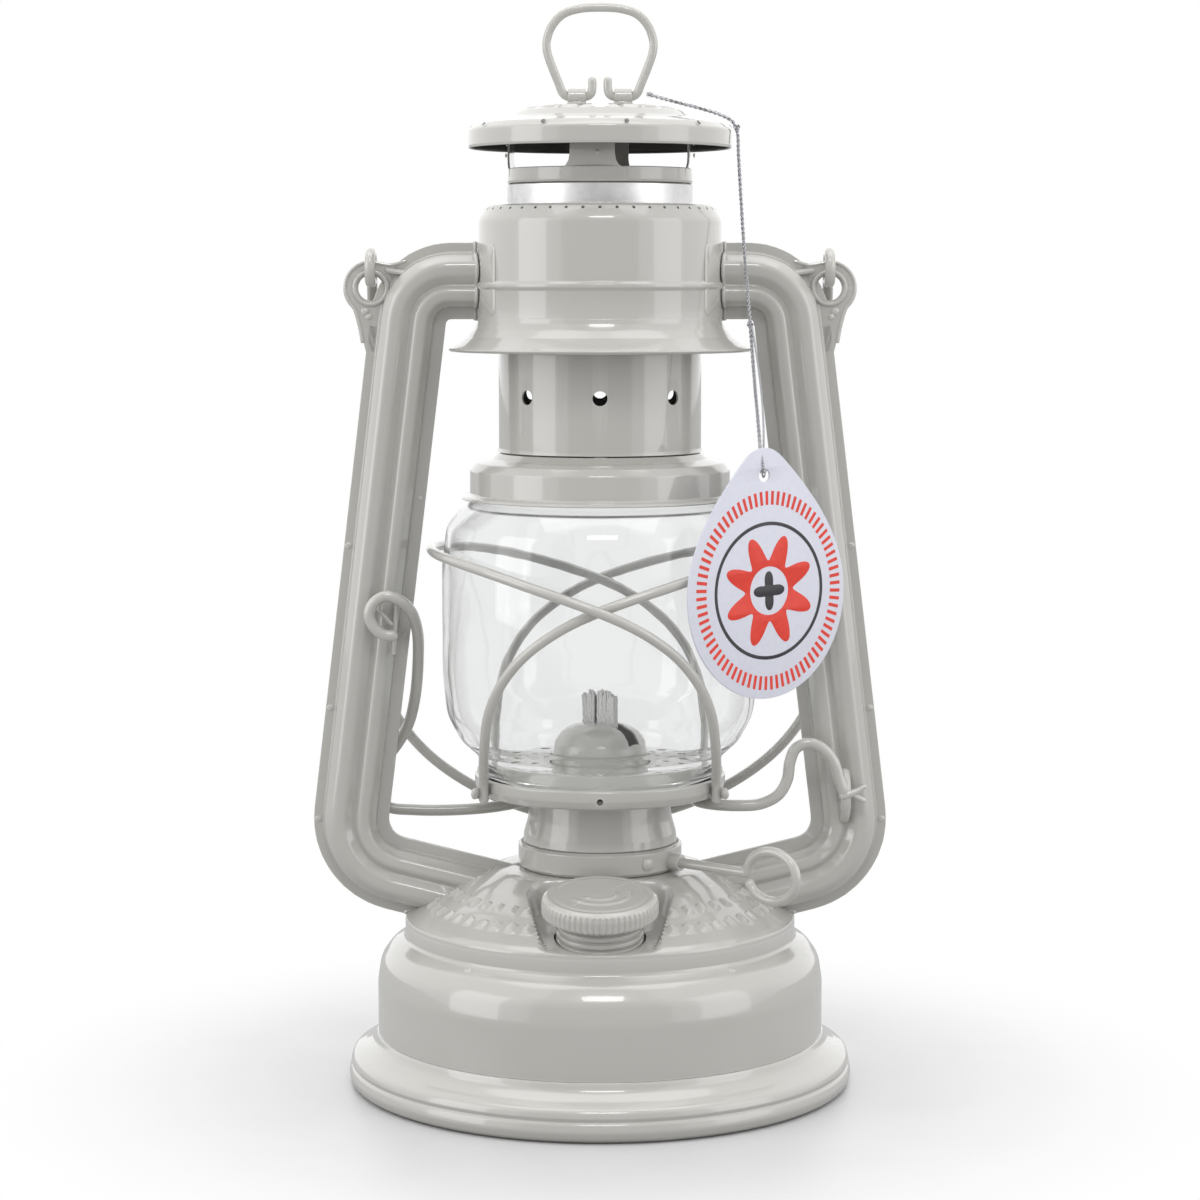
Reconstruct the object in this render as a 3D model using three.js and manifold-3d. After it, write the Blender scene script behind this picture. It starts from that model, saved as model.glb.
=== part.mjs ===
// A small cold-blast hurricane lantern that burns lamp oil.
// Millimetres, +Z up, the base's underside on z = 0, the filler cap towards -Y.
import * as THREE from "three";
import { mergeVertices } from "three/addons/utils/BufferGeometryUtils.js";
import Module from "manifold-3d";

const wasm = await Module();
wasm.setup();

// Driving dimensions.
const GAP = 0.3; // between pieces that touch
const SHEET = 0.6; // thickness of the pressed steel
const ROUND = 20; // sides of a large turned piece
const SMALL_ROUND = 14; // sides of a small one

const BASE_RADIUS = 66.7;
const TANK_RADIUS = 58.9;
const TANK_TOP = 43; // where the dome sits on the tank's wall
const DOME_TOP = 57.2;

const TUBE_HALF_WIDTH = 9.9;
// Where a side tube's straight middle line meets the lines of its upper arm and its foot.
const TUBE_TOP_CORNER = new THREE.Vector2(48.8, 211.3);
const TUBE_FOOT_CORNER = new THREE.Vector2(67.3, 58.3);
const TUBE_TOP_BEND = 17.2;
const TUBE_FOOT_BEND = 15;
const TUBE_FOOT_SLOPE = THREE.MathUtils.degToRad(14);

const NECK_PLACE = new THREE.Vector3(0, -38.6, 43);
const NECK_TILT = THREE.MathUtils.degToRad(9.5);
const NECK_RADIUS = 11.2;
const RECESS_RADIUS = 17; // the pressed-in seat round the filler neck
const SEAT_HEIGHT = 3.3; // up the neck's axis

const BURNER_RADIUS = 21.6;
const WICK_TURN = THREE.MathUtils.degToRad(-39.5); // the wick's width lies along this heading
const WICK_WIDTH = 11;
const WICK_THICKNESS = 2.2;
const WICK_TOP = 104;
const KNOB_HEIGHT = 60.2;
const KNOB_OFFSET = 3.6; // from the middle of the wick to the knob's shaft
const KNOB_WIRE = 2.6;

const GLOBE_RADIUS = 41.4;
const PLATE_RADIUS = 33;
const GUARD_WIRE = 2.6;
const GUARD_RADIUS = 44.2;

const CHIMNEY_RADIUS = 26.4;
const CHAMBER_RADIUS = 31.85;
const INNER_TUBE_RADIUS = 24;
const HOOD_RADIUS = 34.3;
const SPIDER_TURN = THREE.MathUtils.degToRad(-4.8);

const RING_WIRE = 2.3;
const RING_AXIS_HEIGHT = 258.7;
const EYELET_RADIUS = 2.05;

const EAR_PLACE = new THREE.Vector2(59.6, 209.5);
const EAR_RADIUS = 7.1;
const EAR_HOLE = 3.3;
const BAIL_WIRE = 2.8;
const BAIL_EYE = 3.9; // radius of the eye that hangs on the ear
const BAIL_PIVOT_HEIGHT = 214.7;
const BAIL_TILT = THREE.MathUtils.degToRad(7.45);

const LEVER_WIRE = 3;
const LEVER_PIVOT = new THREE.Vector3(63.9, -4.6, 77.1);

const TAG_THICKNESS = 0.6;
const TAG_HOLE_RADIUS = 1.7;
const TAG_HOLE = new THREE.Vector3(41.4, -27.7, 162.4);
const TAG_TURN = THREE.MathUtils.degToRad(36);
const TAG_LEAN = THREE.MathUtils.degToRad(2.2);
const STRING_THICKNESS = 1;

// Materials.
const paint = new THREE.MeshStandardMaterial({ color: 0xb9b8b1, roughness: 0.3, metalness: 0.1 });
const steel = new THREE.MeshStandardMaterial({ color: 0xb4b5b2, roughness: 0.35, metalness: 0.9 });
const zinc = new THREE.MeshStandardMaterial({ color: 0xa9aaa8, roughness: 0.45, metalness: 0.8 });
const brass = new THREE.MeshStandardMaterial({ color: 0xb08d4c, roughness: 0.4, metalness: 0.9 });
const glass = new THREE.MeshStandardMaterial({
  color: 0xf4f8f8,
  roughness: 0.03,
  metalness: 0,
  transparent: true,
  opacity: 0.3,
});
const cotton = new THREE.MeshStandardMaterial({ color: 0xe6e4dc, roughness: 0.95, metalness: 0 });
const rubber = new THREE.MeshStandardMaterial({ color: 0x2a2a2a, roughness: 0.8, metalness: 0 });
const card = new THREE.MeshStandardMaterial({ color: 0xd9dbe6, roughness: 0.7, metalness: 0 });
const thread = new THREE.MeshStandardMaterial({ color: 0xa0a2a6, roughness: 0.5, metalness: 0.4 });

// A closed geometry as a solid that can be cut and joined.
function solidOf(geometry) {
  const bare = geometry.index ? geometry.toNonIndexed() : geometry.clone();
  bare.deleteAttribute("normal");
  bare.deleteAttribute("uv");
  const merged = mergeVertices(bare, 1e-3);
  return new wasm.Manifold(
    new wasm.Mesh({
      numProp: 3,
      vertProperties: merged.getAttribute("position").array,
      triVerts: new Uint32Array(merged.index.array),
    }),
  );
}

// A solid's surface as a geometry.
function geometryOf(solid) {
  const mesh = solid.getMesh();
  const geometry = new THREE.BufferGeometry();
  geometry.setAttribute("position", new THREE.BufferAttribute(mesh.vertProperties, 3));
  geometry.setIndex(new THREE.BufferAttribute(mesh.triVerts, 1));
  geometry.computeVertexNormals();
  return geometry;
}

// Turns a closed outline of [radius, height] points about the Z axis.
// An outline that starts and ends on the axis is left open there.
function turned(outline, sides = ROUND) {
  const points = outline.map(([radius, height]) => new THREE.Vector2(radius, height));
  if (THREE.ShapeUtils.area(points) < 0) points.reverse();
  const onAxis = points.some((point) => point.x === 0);
  if (onAxis) {
    while (points[0].x !== 0 || points[points.length - 1].x !== 0) points.push(points.shift());
  } else {
    points.push(points[0].clone());
  }
  return new THREE.LatheGeometry(points, sides).rotateX(Math.PI / 2);
}

// The outline of a sheet whose outer face follows the given line from the bottom up.
function sheet(line, thickness = SHEET) {
  const points = line.map(([radius, height]) => new THREE.Vector2(radius, height));
  const normals = points.slice(1).map((point, at) => {
    const along = point.clone().sub(points[at]).normalize();
    return new THREE.Vector2(-along.y, along.x);
  });
  const inner = points.map((point, at) => {
    const before = normals[Math.max(at - 1, 0)];
    const after = normals[Math.min(at, normals.length - 1)];
    const middle = before.clone().add(after).normalize();
    return point.clone().addScaledVector(middle, thickness / middle.dot(after));
  });
  if (points[points.length - 1].x === 0) inner[inner.length - 1].x = 0;
  return [...points, ...inner.reverse()].map((point) => [point.x, point.y]);
}

// A path through stations, so that a long straight run needs no steps of its own.
class Stations extends THREE.Curve {
  constructor(points) {
    super();
    this.points = points;
  }
  stationAt(u) {
    return Math.round(u * (this.points.length - 1));
  }
  getPointAt(u) {
    return this.points[this.stationAt(u)].clone();
  }
  getTangentAt(u) {
    const at = this.stationAt(u);
    const last = this.points.length - 1;
    const tangent = new THREE.Vector3();
    for (const start of [at - 1, at]) {
      if (start < 0 || start >= last) continue;
      tangent.add(this.points[start + 1].clone().sub(this.points[start]).normalize());
    }
    return tangent.normalize();
  }
}

function swept(outline, points, roundSteps) {
  return new THREE.ExtrudeGeometry(outline, {
    steps: points.length - 1,
    curveSegments: roundSteps,
    bevelEnabled: false,
    extrudePath: new Stations(points),
  });
}

// Round wire or cord through the given points. It has twice as many sides as round steps.
function wire(points, thickness, roundSteps = 3) {
  const round = new THREE.Shape().absarc(0, 0, thickness / 2, 0, 2 * Math.PI);
  return swept(round, points, roundSteps);
}

function smooth(points, steps) {
  return new THREE.CatmullRomCurve3(points, false, "centripetal").getSpacedPoints(steps);
}

function place(list) {
  return list.map(([x, y, z]) => new THREE.Vector3(x, y, z));
}

// A plate cut from a flat shape, centred on its own plane.
function plate(shape, thickness, roundSteps = 6) {
  const settings = { depth: thickness, bevelEnabled: false, curveSegments: roundSteps };
  return new THREE.ExtrudeGeometry(shape, settings).translate(0, 0, -thickness / 2);
}

// A round bar from one point towards a direction, used to drill holes.
function drill(radius, length, at, direction, sides = 12) {
  const turn = new THREE.Quaternion().setFromUnitVectors(new THREE.Vector3(0, 1, 0), direction);
  return new THREE.CylinderGeometry(radius, radius, length, sides)
    .applyQuaternion(turn)
    .translate(at.x, at.y, at.z);
}

const part = new THREE.Group();

function add(name, geometry, material, group = part) {
  const mesh = new THREE.Mesh(geometry, material);
  mesh.name = name;
  group.add(mesh);
  return mesh;
}

// Base and tank.
const baseOutline = [
  [63.2, 0],
  [65.6, 0],
  [BASE_RADIUS, 1.4],
  [BASE_RADIUS, 5.2],
  [65.3, 7.4],
  [61, 10.6],
  [59.3, 13.3],
  [58.2, 13.3],
  [60.2, 9.6],
  [64.6, 6.1],
  [65, 2],
  [63.2, 1.6],
];
add("base_ring", turned(baseOutline), paint);

const tankLine = [
  [TANK_RADIUS, 13.6],
  [TANK_RADIUS, 27],
  [58, 33.4],
  [55.2, 37.1],
  [51.6, 39],
  [51.6, TANK_TOP],
];
add("tank_wall", turned(sheet(tankLine)), paint);

const panOutline = [
  [0, 7.6],
  [55.6, 7.6],
  [57.7, 9.2],
  [57.7, 16],
  [56.9, 16],
  [56.9, 9.8],
  [55.2, 8.4],
  [0, 8.4],
];
add("tank_bottom", turned(panOutline), paint);

// The neck's own frame: its axis leans forward.
function onNeck(geometry) {
  return geometry.rotateX(NECK_TILT).translate(NECK_PLACE.x, NECK_PLACE.y, NECK_PLACE.z);
}

function neckBar(radius, low, high) {
  const outline = [
    [0, low],
    [radius, low],
    [radius, high],
    [0, high],
  ];
  return solidOf(onNeck(turned(outline, SMALL_ROUND)));
}

const domeLine = [
  [51.6, TANK_TOP + GAP],
  [51.5, 44],
  [50.4, 45.1],
  [42, 50.2],
  [34, 54.4],
  [27, DOME_TOP],
  [16.6, DOME_TOP],
];

// Everything under a face that stands off the dome's outer face.
function underDome(stand) {
  const above = domeLine.map(([radius, height]) => [radius, height + stand]);
  return solidOf(turned([[0, 20], [51.6 + stand, 20], ...above, [0, DOME_TOP + stand]]));
}

function seatOfNeck() {
  const cup = [
    [NECK_RADIUS + 0.6, SEAT_HEIGHT - SHEET],
    [RECESS_RADIUS, SEAT_HEIGHT - SHEET],
    [RECESS_RADIUS, 26],
    [RECESS_RADIUS - SHEET, 26],
    [RECESS_RADIUS - SHEET, SEAT_HEIGHT],
    [NECK_RADIUS + 0.6, SEAT_HEIGHT],
  ];
  return solidOf(onNeck(turned(cup, SMALL_ROUND))).intersect(underDome(0));
}

// A square bar along a side tube's foot, for the air's way into the dome.
function footOpening(side) {
  const bar = new THREE.BoxGeometry(40, 11.5, 10).rotateY(-side * TUBE_FOOT_SLOPE);
  return solidOf(bar.translate(side * 43, 0, 51));
}

const dome = solidOf(turned(sheet(domeLine)))
  .subtract(neckBar(RECESS_RADIUS - 0.01, -3, 30))
  .add(seatOfNeck())
  .subtract(footOpening(1))
  .subtract(footOpening(-1));
add("tank_dome", geometryOf(dome), paint);

const lidOutline = [
  [16.2, 40.2],
  [50.4, 40.2],
  [50.4, 41],
  [16.2, 41],
];
const lid = solidOf(turned(lidOutline)).subtract(neckBar(NECK_RADIUS + 0.5, -8, 8));
add("tank_lid", geometryOf(lid), steel);

// Filler neck, seal and cap, drawn up their own axis.
function ribbedNeck() {
  const outline = [
    [9, -4.2],
    [NECK_RADIUS - 0.8, -4.2],
    [NECK_RADIUS - 0.8, 1.2],
  ];
  for (let rib = 0; rib < 4; rib += 1) {
    outline.push([NECK_RADIUS - 0.7, 1.9 + 2 * rib]);
    outline.push([NECK_RADIUS, 2.7 + 2 * rib]);
  }
  outline.push([NECK_RADIUS - 0.7, 9.8], [NECK_RADIUS - 0.7, 11.6], [9, 11.6]);
  return turned(outline, SMALL_ROUND);
}
add("filler_neck", onNeck(ribbedNeck()), steel);

const sealOutline = [
  [7.5, 11.9],
  [11, 11.9],
  [11, 12.8],
  [7.5, 12.8],
];
add("filler_seal", onNeck(turned(sealOutline, SMALL_ROUND)), rubber);

const capOutline = [
  [0, 13.1],
  [11.6, 13.1],
  [11.6, 9.3],
  [14.2, 9.3],
  [14.8, 9.8],
  [14.8, 13.2],
  [14.1, 14.3],
  [12.6, 14.8],
  [0, 14.8],
];
add("filler_cap", onNeck(turned(capOutline, SMALL_ROUND)), paint);

// Side tubes: two pressed halves each, with a seam flange down both edges.
// Each outline point is [depth from the seam, distance inwards from the tube's middle].
const halfTubeOutline = [
  [0.15, -TUBE_HALF_WIDTH],
  [0.95, -TUBE_HALF_WIDTH],
  [0.95, -7.2],
  [5.2, -6.3],
  [7.3, -4],
  [6.9, 4],
  [4.6, 6.4],
  [0.95, 7.3],
  [0.95, TUBE_HALF_WIDTH],
  [0.15, TUBE_HALF_WIDTH],
  [0.15, 6.7],
  [4.2, 5.9],
  [6.3, 3.7],
  [6.7, -3.7],
  [4.8, -5.8],
  [0.15, -6.6],
];

// The air's way inside one half, kept clear of the ear's tab.
const tubeHollowOutline = [
  [-0.5, -6.6],
  [4.8, -5.8],
  [6.7, -3.7],
  [6.3, 3.7],
  [4.2, 5.9],
  [-0.5, 6.7],
];

function bend(corner, before, after, radius, steps) {
  const turn = Math.acos(before.dot(after));
  const reach = radius * Math.tan(turn / 2);
  const start = corner.clone().addScaledVector(before, -reach);
  const inward = after.clone().addScaledVector(before, -before.dot(after)).normalize();
  const centre = start.clone().addScaledVector(inward, radius);
  return Array.from({ length: steps + 1 }, (_, step) => {
    const angle = (turn * step) / steps;
    return centre
      .clone()
      .addScaledVector(before, radius * Math.sin(angle))
      .addScaledVector(inward, -radius * Math.cos(angle));
  });
}

function tubePath() {
  const outward = new THREE.Vector2(1, 0);
  const down = TUBE_FOOT_CORNER.clone().sub(TUBE_TOP_CORNER).normalize();
  const inward = new THREE.Vector2(-Math.cos(TUBE_FOOT_SLOPE), -Math.sin(TUBE_FOOT_SLOPE));
  const flat = [
    new THREE.Vector2(28, TUBE_TOP_CORNER.y),
    ...bend(TUBE_TOP_CORNER, outward, down, TUBE_TOP_BEND, 5),
    ...bend(TUBE_FOOT_CORNER, down, inward, TUBE_FOOT_BEND, 5),
    TUBE_FOOT_CORNER.clone().addScaledVector(inward, 45),
  ];
  return flat.map((point) => new THREE.Vector3(point.x, 0, point.y));
}

// The ear that the bail hangs on, a tab on both halves.
function earTab() {
  const shape = new THREE.Shape();
  const { x, y } = EAR_PLACE;
  shape.moveTo(53, 197);
  shape.lineTo(59.9, 197);
  shape.absarc(x, y, EAR_RADIUS, -0.62, Math.PI / 2 + 0.1);
  shape.lineTo(50, 214.6);
  const hole = new THREE.Path().absarc(x, y, EAR_HOLE, 0, 2 * Math.PI, true);
  shape.holes.push(hole);
  const thickness = 0.8;
  // Stood upright in the XZ plane, in front of the seam.
  return plate(shape, thickness, 8)
    .rotateX(Math.PI / 2)
    .translate(0, -0.15 - thickness / 2, 0);
}

// A small bite out of the inner flange, just above the foot's bend.
function flangeNotch() {
  return solidOf(new THREE.BoxGeometry(6, 4, 4.3).translate(53.4, 0, 82.4));
}

function sweptAlongTube(outline) {
  const shape = new THREE.Shape(outline.map(([depth, across]) => new THREE.Vector2(across, -depth)));
  return solidOf(swept(shape, tubePath(), 1));
}

function tubeBody() {
  const chamberClear = [
    [0, 180],
    [CHAMBER_RADIUS + GAP, 180],
    [CHAMBER_RADIUS + GAP, 240],
    [0, 240],
  ];
  return sweptAlongTube(halfTubeOutline)
    .add(solidOf(earTab()).subtract(sweptAlongTube(tubeHollowOutline)))
    .subtract(solidOf(turned(chamberClear)))
    .subtract(underDome(GAP))
    .subtract(flangeNotch());
}

const halfTube = tubeBody();
const pivotHole = drill(1.9, 8, LEVER_PIVOT, new THREE.Vector3(0, 1, 0));
const halfTubeGeometry = geometryOf(halfTube);
add("right_tube_front", geometryOf(halfTube.subtract(solidOf(pivotHole))), paint);
add("right_tube_back", halfTubeGeometry, paint).scale.set(1, -1, 1);
add("left_tube_front", halfTubeGeometry, paint).scale.set(-1, 1, 1);
add("left_tube_back", halfTubeGeometry, paint).scale.set(-1, -1, 1);

// Upper air chamber and its flared skirt.
const chamberLine = [
  [CHAMBER_RADIUS, 201.9],
  [CHAMBER_RADIUS, 226.6],
  [31, 229],
  [29.2, 230.5],
  [26.6, 231],
  [INNER_TUBE_RADIUS + 0.5, 231],
];
const airWay = solidOf(new THREE.BoxGeometry(80, 11, 11).translate(0, 0, TUBE_TOP_CORNER.y));
const chamber = solidOf(turned(sheet(chamberLine))).subtract(airWay);
add("air_chamber", geometryOf(chamber), paint);

const skirtOutline = [
  [39.2, 193.2],
  [39.8, 194],
  [36.4, 197.7],
  [CHAMBER_RADIUS, 200.4],
  [CHAMBER_RADIUS, 201.5],
  [CHIMNEY_RADIUS + SHEET, 201.5],
  [CHIMNEY_RADIUS + SHEET, 200.7],
  [31, 200.2],
  [35.8, 196.9],
  [38.5, 193.2],
];
add("chamber_skirt", turned(skirtOutline), paint);

// Burner.
const burnerBaseOutline = [
  [14.8, 44],
  [15.8, 44],
  [15.8, 57.5],
  [21, 57.5],
  [BURNER_RADIUS, 58.1],
  [BURNER_RADIUS, 63.4],
  [21, 64],
  [17, 64],
  [17, 63.3],
  [20.7, 63.1],
  [20.7, 58.4],
  [14.8, 58.3],
];
const shaftDirection = new THREE.Vector3(Math.cos(WICK_TURN), Math.sin(WICK_TURN), 0);
const shaftSide = new THREE.Vector3(-Math.sin(WICK_TURN), Math.cos(WICK_TURN), 0);

function alongShaft(distance, height = KNOB_HEIGHT) {
  return shaftDirection
    .clone()
    .multiplyScalar(distance)
    .addScaledVector(shaftSide, KNOB_OFFSET)
    .setZ(height);
}

const shaftHole = solidOf(drill(KNOB_WIRE / 2 + 0.4, 10, alongShaft(21), shaftDirection));
const burnerBase = solidOf(turned(burnerBaseOutline)).subtract(shaftHole);
add("burner_base", geometryOf(burnerBase), paint);

const collarLine = [
  [20.3, 64.3],
  [20.2, 67],
  [19, 70.4],
  [18.5, 76.4],
  [17.4, 77.4],
  [14, 77.4],
];
add("burner_collar", turned(sheet(collarLine, 0.7), SMALL_ROUND), paint);

// A flat box-section tube for the wick, on a round deck.
function wickTube() {
  const box = (width, depth, low, high) =>
    solidOf(
      new THREE.BoxGeometry(width, depth, high - low).translate(0, 0, (low + high) / 2).rotateZ(WICK_TURN),
    );
  const deck = [
    [0, 66.2],
    [18.6, 66.2],
    [18.6, 66.9],
    [0, 66.9],
  ];
  return box(WICK_WIDTH + 1.9, WICK_THICKNESS + 1.9, 64.4, 91.5)
    .add(solidOf(turned(deck, SMALL_ROUND)))
    .subtract(box(WICK_WIDTH + 0.7, WICK_THICKNESS + 0.7, 60, 95));
}
add("wick_tube", geometryOf(wickTube()), brass);

const flameDomeLine = [
  [16.4, 78.3],
  [13.1, 78.8],
  [12.9, 86.5],
  [12.1, 90],
  [10, 93.2],
  [6.5, 95],
  [0, 95.6],
];
const slot = new THREE.BoxGeometry(23.4, 4.4, 12).rotateZ(WICK_TURN).translate(0, 0, 94.2);
const flameDome = solidOf(turned(sheet(flameDomeLine, 0.6), SMALL_ROUND)).subtract(solidOf(slot));
add("flame_dome", geometryOf(flameDome), paint);

const wickBottom = 20;
const wick = new THREE.BoxGeometry(WICK_WIDTH, WICK_THICKNESS, WICK_TOP - wickBottom)
  .rotateZ(WICK_TURN)
  .translate(0, 0, (WICK_TOP + wickBottom) / 2);
add("wick", wick, cotton);

// Wick knob: a straight shaft whose wire ends in a closed loop.
function knobLoop() {
  const reach = 7.7;
  const rise = 6.4;
  const centre = 53.8;
  const turns = 22;
  const points = Array.from({ length: turns + 1 }, (_, step) => {
    const angle = Math.PI - (step / turns) * (2 * Math.PI - 0.42);
    return alongShaft(centre + reach * Math.cos(angle), KNOB_HEIGHT + rise * Math.sin(angle));
  });
  return solidOf(wire(points, KNOB_WIRE));
}

const shaft = solidOf(wire([alongShaft(-7), alongShaft(46.4)], KNOB_WIRE));
add("wick_knob", geometryOf(shaft.add(knobLoop())), paint);

// A spur wheel that bites the wick, a sleeve round the shaft.
const wheelOutline = [
  [KNOB_WIRE / 2 + 0.1, -3],
  [2.2, -3],
  [2.2, 3],
  [KNOB_WIRE / 2 + 0.1, 3],
];
const wheelTurn = new THREE.Quaternion().setFromUnitVectors(new THREE.Vector3(0, 0, 1), shaftDirection);
const wheelPlace = alongShaft(0);
const wheel = turned(wheelOutline, 16)
  .applyQuaternion(wheelTurn)
  .translate(wheelPlace.x, wheelPlace.y, wheelPlace.z);
add("wick_wheel", wheel, brass);

// Globe plate, globe and guard, which rise together.
const plateOutline = [
  [PLATE_RADIUS, 77],
  [PLATE_RADIUS, 82.6],
  [32.2, 82.6],
  [32.2, 81.2],
  [27.9, 81.2],
  [26.4, 85.4],
  [13.7, 86],
  [13.7, 85.2],
  [25.8, 84.6],
  [27.3, 80.4],
  [32.2, 80.4],
  [32.2, 77],
];
add("globe_plate", turned(plateOutline), paint);

const globeLine = [
  [31.6, 81.5],
  [31.8, 87.4],
  [37.2, 92.2],
  [40.9, 100],
  [GLOBE_RADIUS, 122.8],
  [40.9, 144.5],
  [38.4, 150.5],
  [33.1, 154.3],
  [32.4, 157],
];
add("globe", turned(sheet(globeLine, 1.5)), glass);

// One guard wire: up from its front foot, across the front, round the far side and back down.
// Each entry is [x, height, radius]. At the front crossing the wire lies outside its twin.
const guardHalf = [
  [30.1, 77.6, 34.7],
  [30.1, 82, 34.7],
  [29.9, 88, 37.4],
  [29.4, 94, 40.6],
  [28.2, 102, 43.3],
  [25.2, 109.6, GUARD_RADIUS],
  [20, 116.7, 44.5],
  [13.8, 122, 45.2],
  [7.3, 126, 45.9],
  [0, 129.3, 46.1],
  [-8, 132.2, 45.8],
  [-18, 135.3, 45],
  [-27.5, 138, 44.4],
  [-36, 140, GUARD_RADIUS],
  [-41.6, 141, GUARD_RADIUS],
];
const TUCK = 3; // how much nearer the globe a wire lies where it passes under its twin

function guardPoint([x, height, radius], back) {
  const tuck = back ? TUCK * Math.max(0, (radius - 44.4) / 1.7) : 0;
  const reach = radius - tuck;
  const y = Math.sqrt(reach * reach - x * x);
  return new THREE.Vector3(x, back ? y : -y, height);
}

const guardPoints = [
  ...guardHalf.map((entry) => guardPoint(entry, false)),
  new THREE.Vector3(-GUARD_RADIUS, 0, 141.4),
  ...guardHalf.map((entry) => guardPoint(entry, true)).reverse(),
];
const guardWire = wire(smooth(guardPoints, 34), GUARD_WIRE);
add("right_guard_wire", guardWire, paint);
add("left_guard_wire", guardWire, paint).rotation.z = Math.PI;

// Chimney: globe cap, perforated tube, inner tube, spider, hood and the ring's eyelets.
const globeCapLine = [
  [36.3, 154.9],
  [33.95, 156.2],
  [33.95, 162.6],
  [32.2, 164.4],
  [27.9, 165.3],
  [26.6, 166.5],
  [25.4, 166.7],
];
add("globe_cap", turned(sheet(globeCapLine)), paint);

const chimneyLine = [
  [CHIMNEY_RADIUS, 167],
  [CHIMNEY_RADIUS, 200.3],
];
let chimney = solidOf(turned(sheet(chimneyLine)));
for (let hole = 0; hole < 4; hole += 1) {
  const heading = (hole * Math.PI) / 4;
  const across = new THREE.Vector3(Math.sin(heading), -Math.cos(heading), 0);
  chimney = chimney.subtract(solidOf(drill(1.9, 70, new THREE.Vector3(0, 0, 181.7), across)));
}
add("chimney_tube", geometryOf(chimney), paint);

const innerTubeOutline = [
  [25.2, 190],
  [25.2, 190.8],
  [INNER_TUBE_RADIUS, 191.4],
  [INNER_TUBE_RADIUS, 236],
  [INNER_TUBE_RADIUS - SHEET, 236],
  [INNER_TUBE_RADIUS - SHEET, 190],
];
add("inner_tube", turned(innerTubeOutline), zinc);

function hoodSpider() {
  const ring = [
    [INNER_TUBE_RADIUS, 236.3],
    [INNER_TUBE_RADIUS, 240],
    [INNER_TUBE_RADIUS - SHEET, 240],
    [INNER_TUBE_RADIUS - SHEET, 236.3],
  ];
  let spider = solidOf(turned(ring));
  for (let leg = 0; leg < 4; leg += 1) {
    const shape = new THREE.Shape();
    shape.moveTo(-8.2, 239);
    shape.quadraticCurveTo(-5.8, 240, -5.8, 243);
    shape.lineTo(-5.8, 253.2);
    shape.lineTo(5.8, 253.2);
    shape.lineTo(5.8, 243);
    shape.quadraticCurveTo(5.8, 240, 8.2, 239);
    const strip = plate(shape, SHEET, 3)
      .rotateX(Math.PI / 2)
      .translate(0, -22.9, 0)
      .rotateZ((leg * Math.PI) / 2 + SPIDER_TURN);
    spider = spider.add(solidOf(strip));
  }
  return geometryOf(spider);
}
add("hood_spider", hoodSpider(), paint);

const hoodLine = [
  [HOOD_RADIUS, 245.5],
  [HOOD_RADIUS, 250.3],
  [32.6, 251.8],
  [25, 254.4],
  [14, 255.9],
  [0, 256.3],
];
add("hood", turned(sheet(hoodLine)), paint);

const eyeletOutline = [
  [RING_WIRE / 2 + 0.35, 3.7],
  [EYELET_RADIUS, 3.7],
  [EYELET_RADIUS, 8.2],
  [RING_WIRE / 2 + 0.35, 8.2],
];
const eyelet = turned(eyeletOutline, 12).rotateY(Math.PI / 2).translate(0, 0, RING_AXIS_HEIGHT);
add("right_ring_eyelet", eyelet, paint);
add("left_ring_eyelet", eyelet, paint).scale.x = -1;

// Lifting ring: its two ends run inwards through the eyelets and turn up.
const ringHalf = [
  [2, 0, 262.9],
  [2, 0, 261.2],
  [2.4, 0, 259.4],
  [3.7, 0, RING_AXIS_HEIGHT],
  [8.3, 0, RING_AXIS_HEIGHT],
  [9.6, 0, 259.6],
  [10.6, 0, 262],
  [12.4, 0, 266.4],
  [13.6, 0, 270],
  [13.8, 0, 272.6],
  [12.5, 0, 276.6],
  [9.6, 0, 279.7],
  [5.4, 0, 281.1],
];
const ringPoints = [
  ...place(ringHalf),
  new THREE.Vector3(0, 0, 281.4),
  ...place(ringHalf.map(([x, y, z]) => [-x, y, z])).reverse(),
];
add("lifting_ring", wire(ringPoints, RING_WIRE), paint);

// Bail: an eye at each end hangs on an ear, and the bow rests against the burner.
function bailHalf() {
  const x = EAR_PLACE.x;
  const eyeSteps = 11;
  const eye = Array.from({ length: eyeSteps }, (_, step) => {
    const angle = BAIL_TILT + THREE.MathUtils.degToRad(288 * (1 - step / eyeSteps));
    const height = BAIL_PIVOT_HEIGHT + BAIL_EYE * Math.sin(angle);
    return new THREE.Vector3(x, BAIL_EYE * Math.cos(angle), height);
  });
  const bow = [
    [x, 0],
    [x, 60],
    [x, 100],
    [59.3, 107],
    [58.3, 113.5],
    [56.1, 119.8],
    [52.4, 126],
    [47.5, 131.8],
    [41.2, 137.2],
    [33, 142.4],
    [22.5, 147.2],
    [11.5, 150.2],
  ];
  return [...eye, ...bow.map(([across, down]) => bowPoint(across, down))];
}

function bowPoint(across, down) {
  const y = BAIL_EYE * Math.cos(BAIL_TILT) + down * Math.sin(BAIL_TILT);
  const z = BAIL_PIVOT_HEIGHT + BAIL_EYE * Math.sin(BAIL_TILT) - down * Math.cos(BAIL_TILT);
  return new THREE.Vector3(across, y, z);
}

const rightBail = bailHalf();
const leftBail = rightBail.map((point) => new THREE.Vector3(-point.x, point.y, point.z)).reverse();
add("bail", wire([...rightBail, bowPoint(0, 151.2), ...leftBail], BAIL_WIRE), steel);

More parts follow.
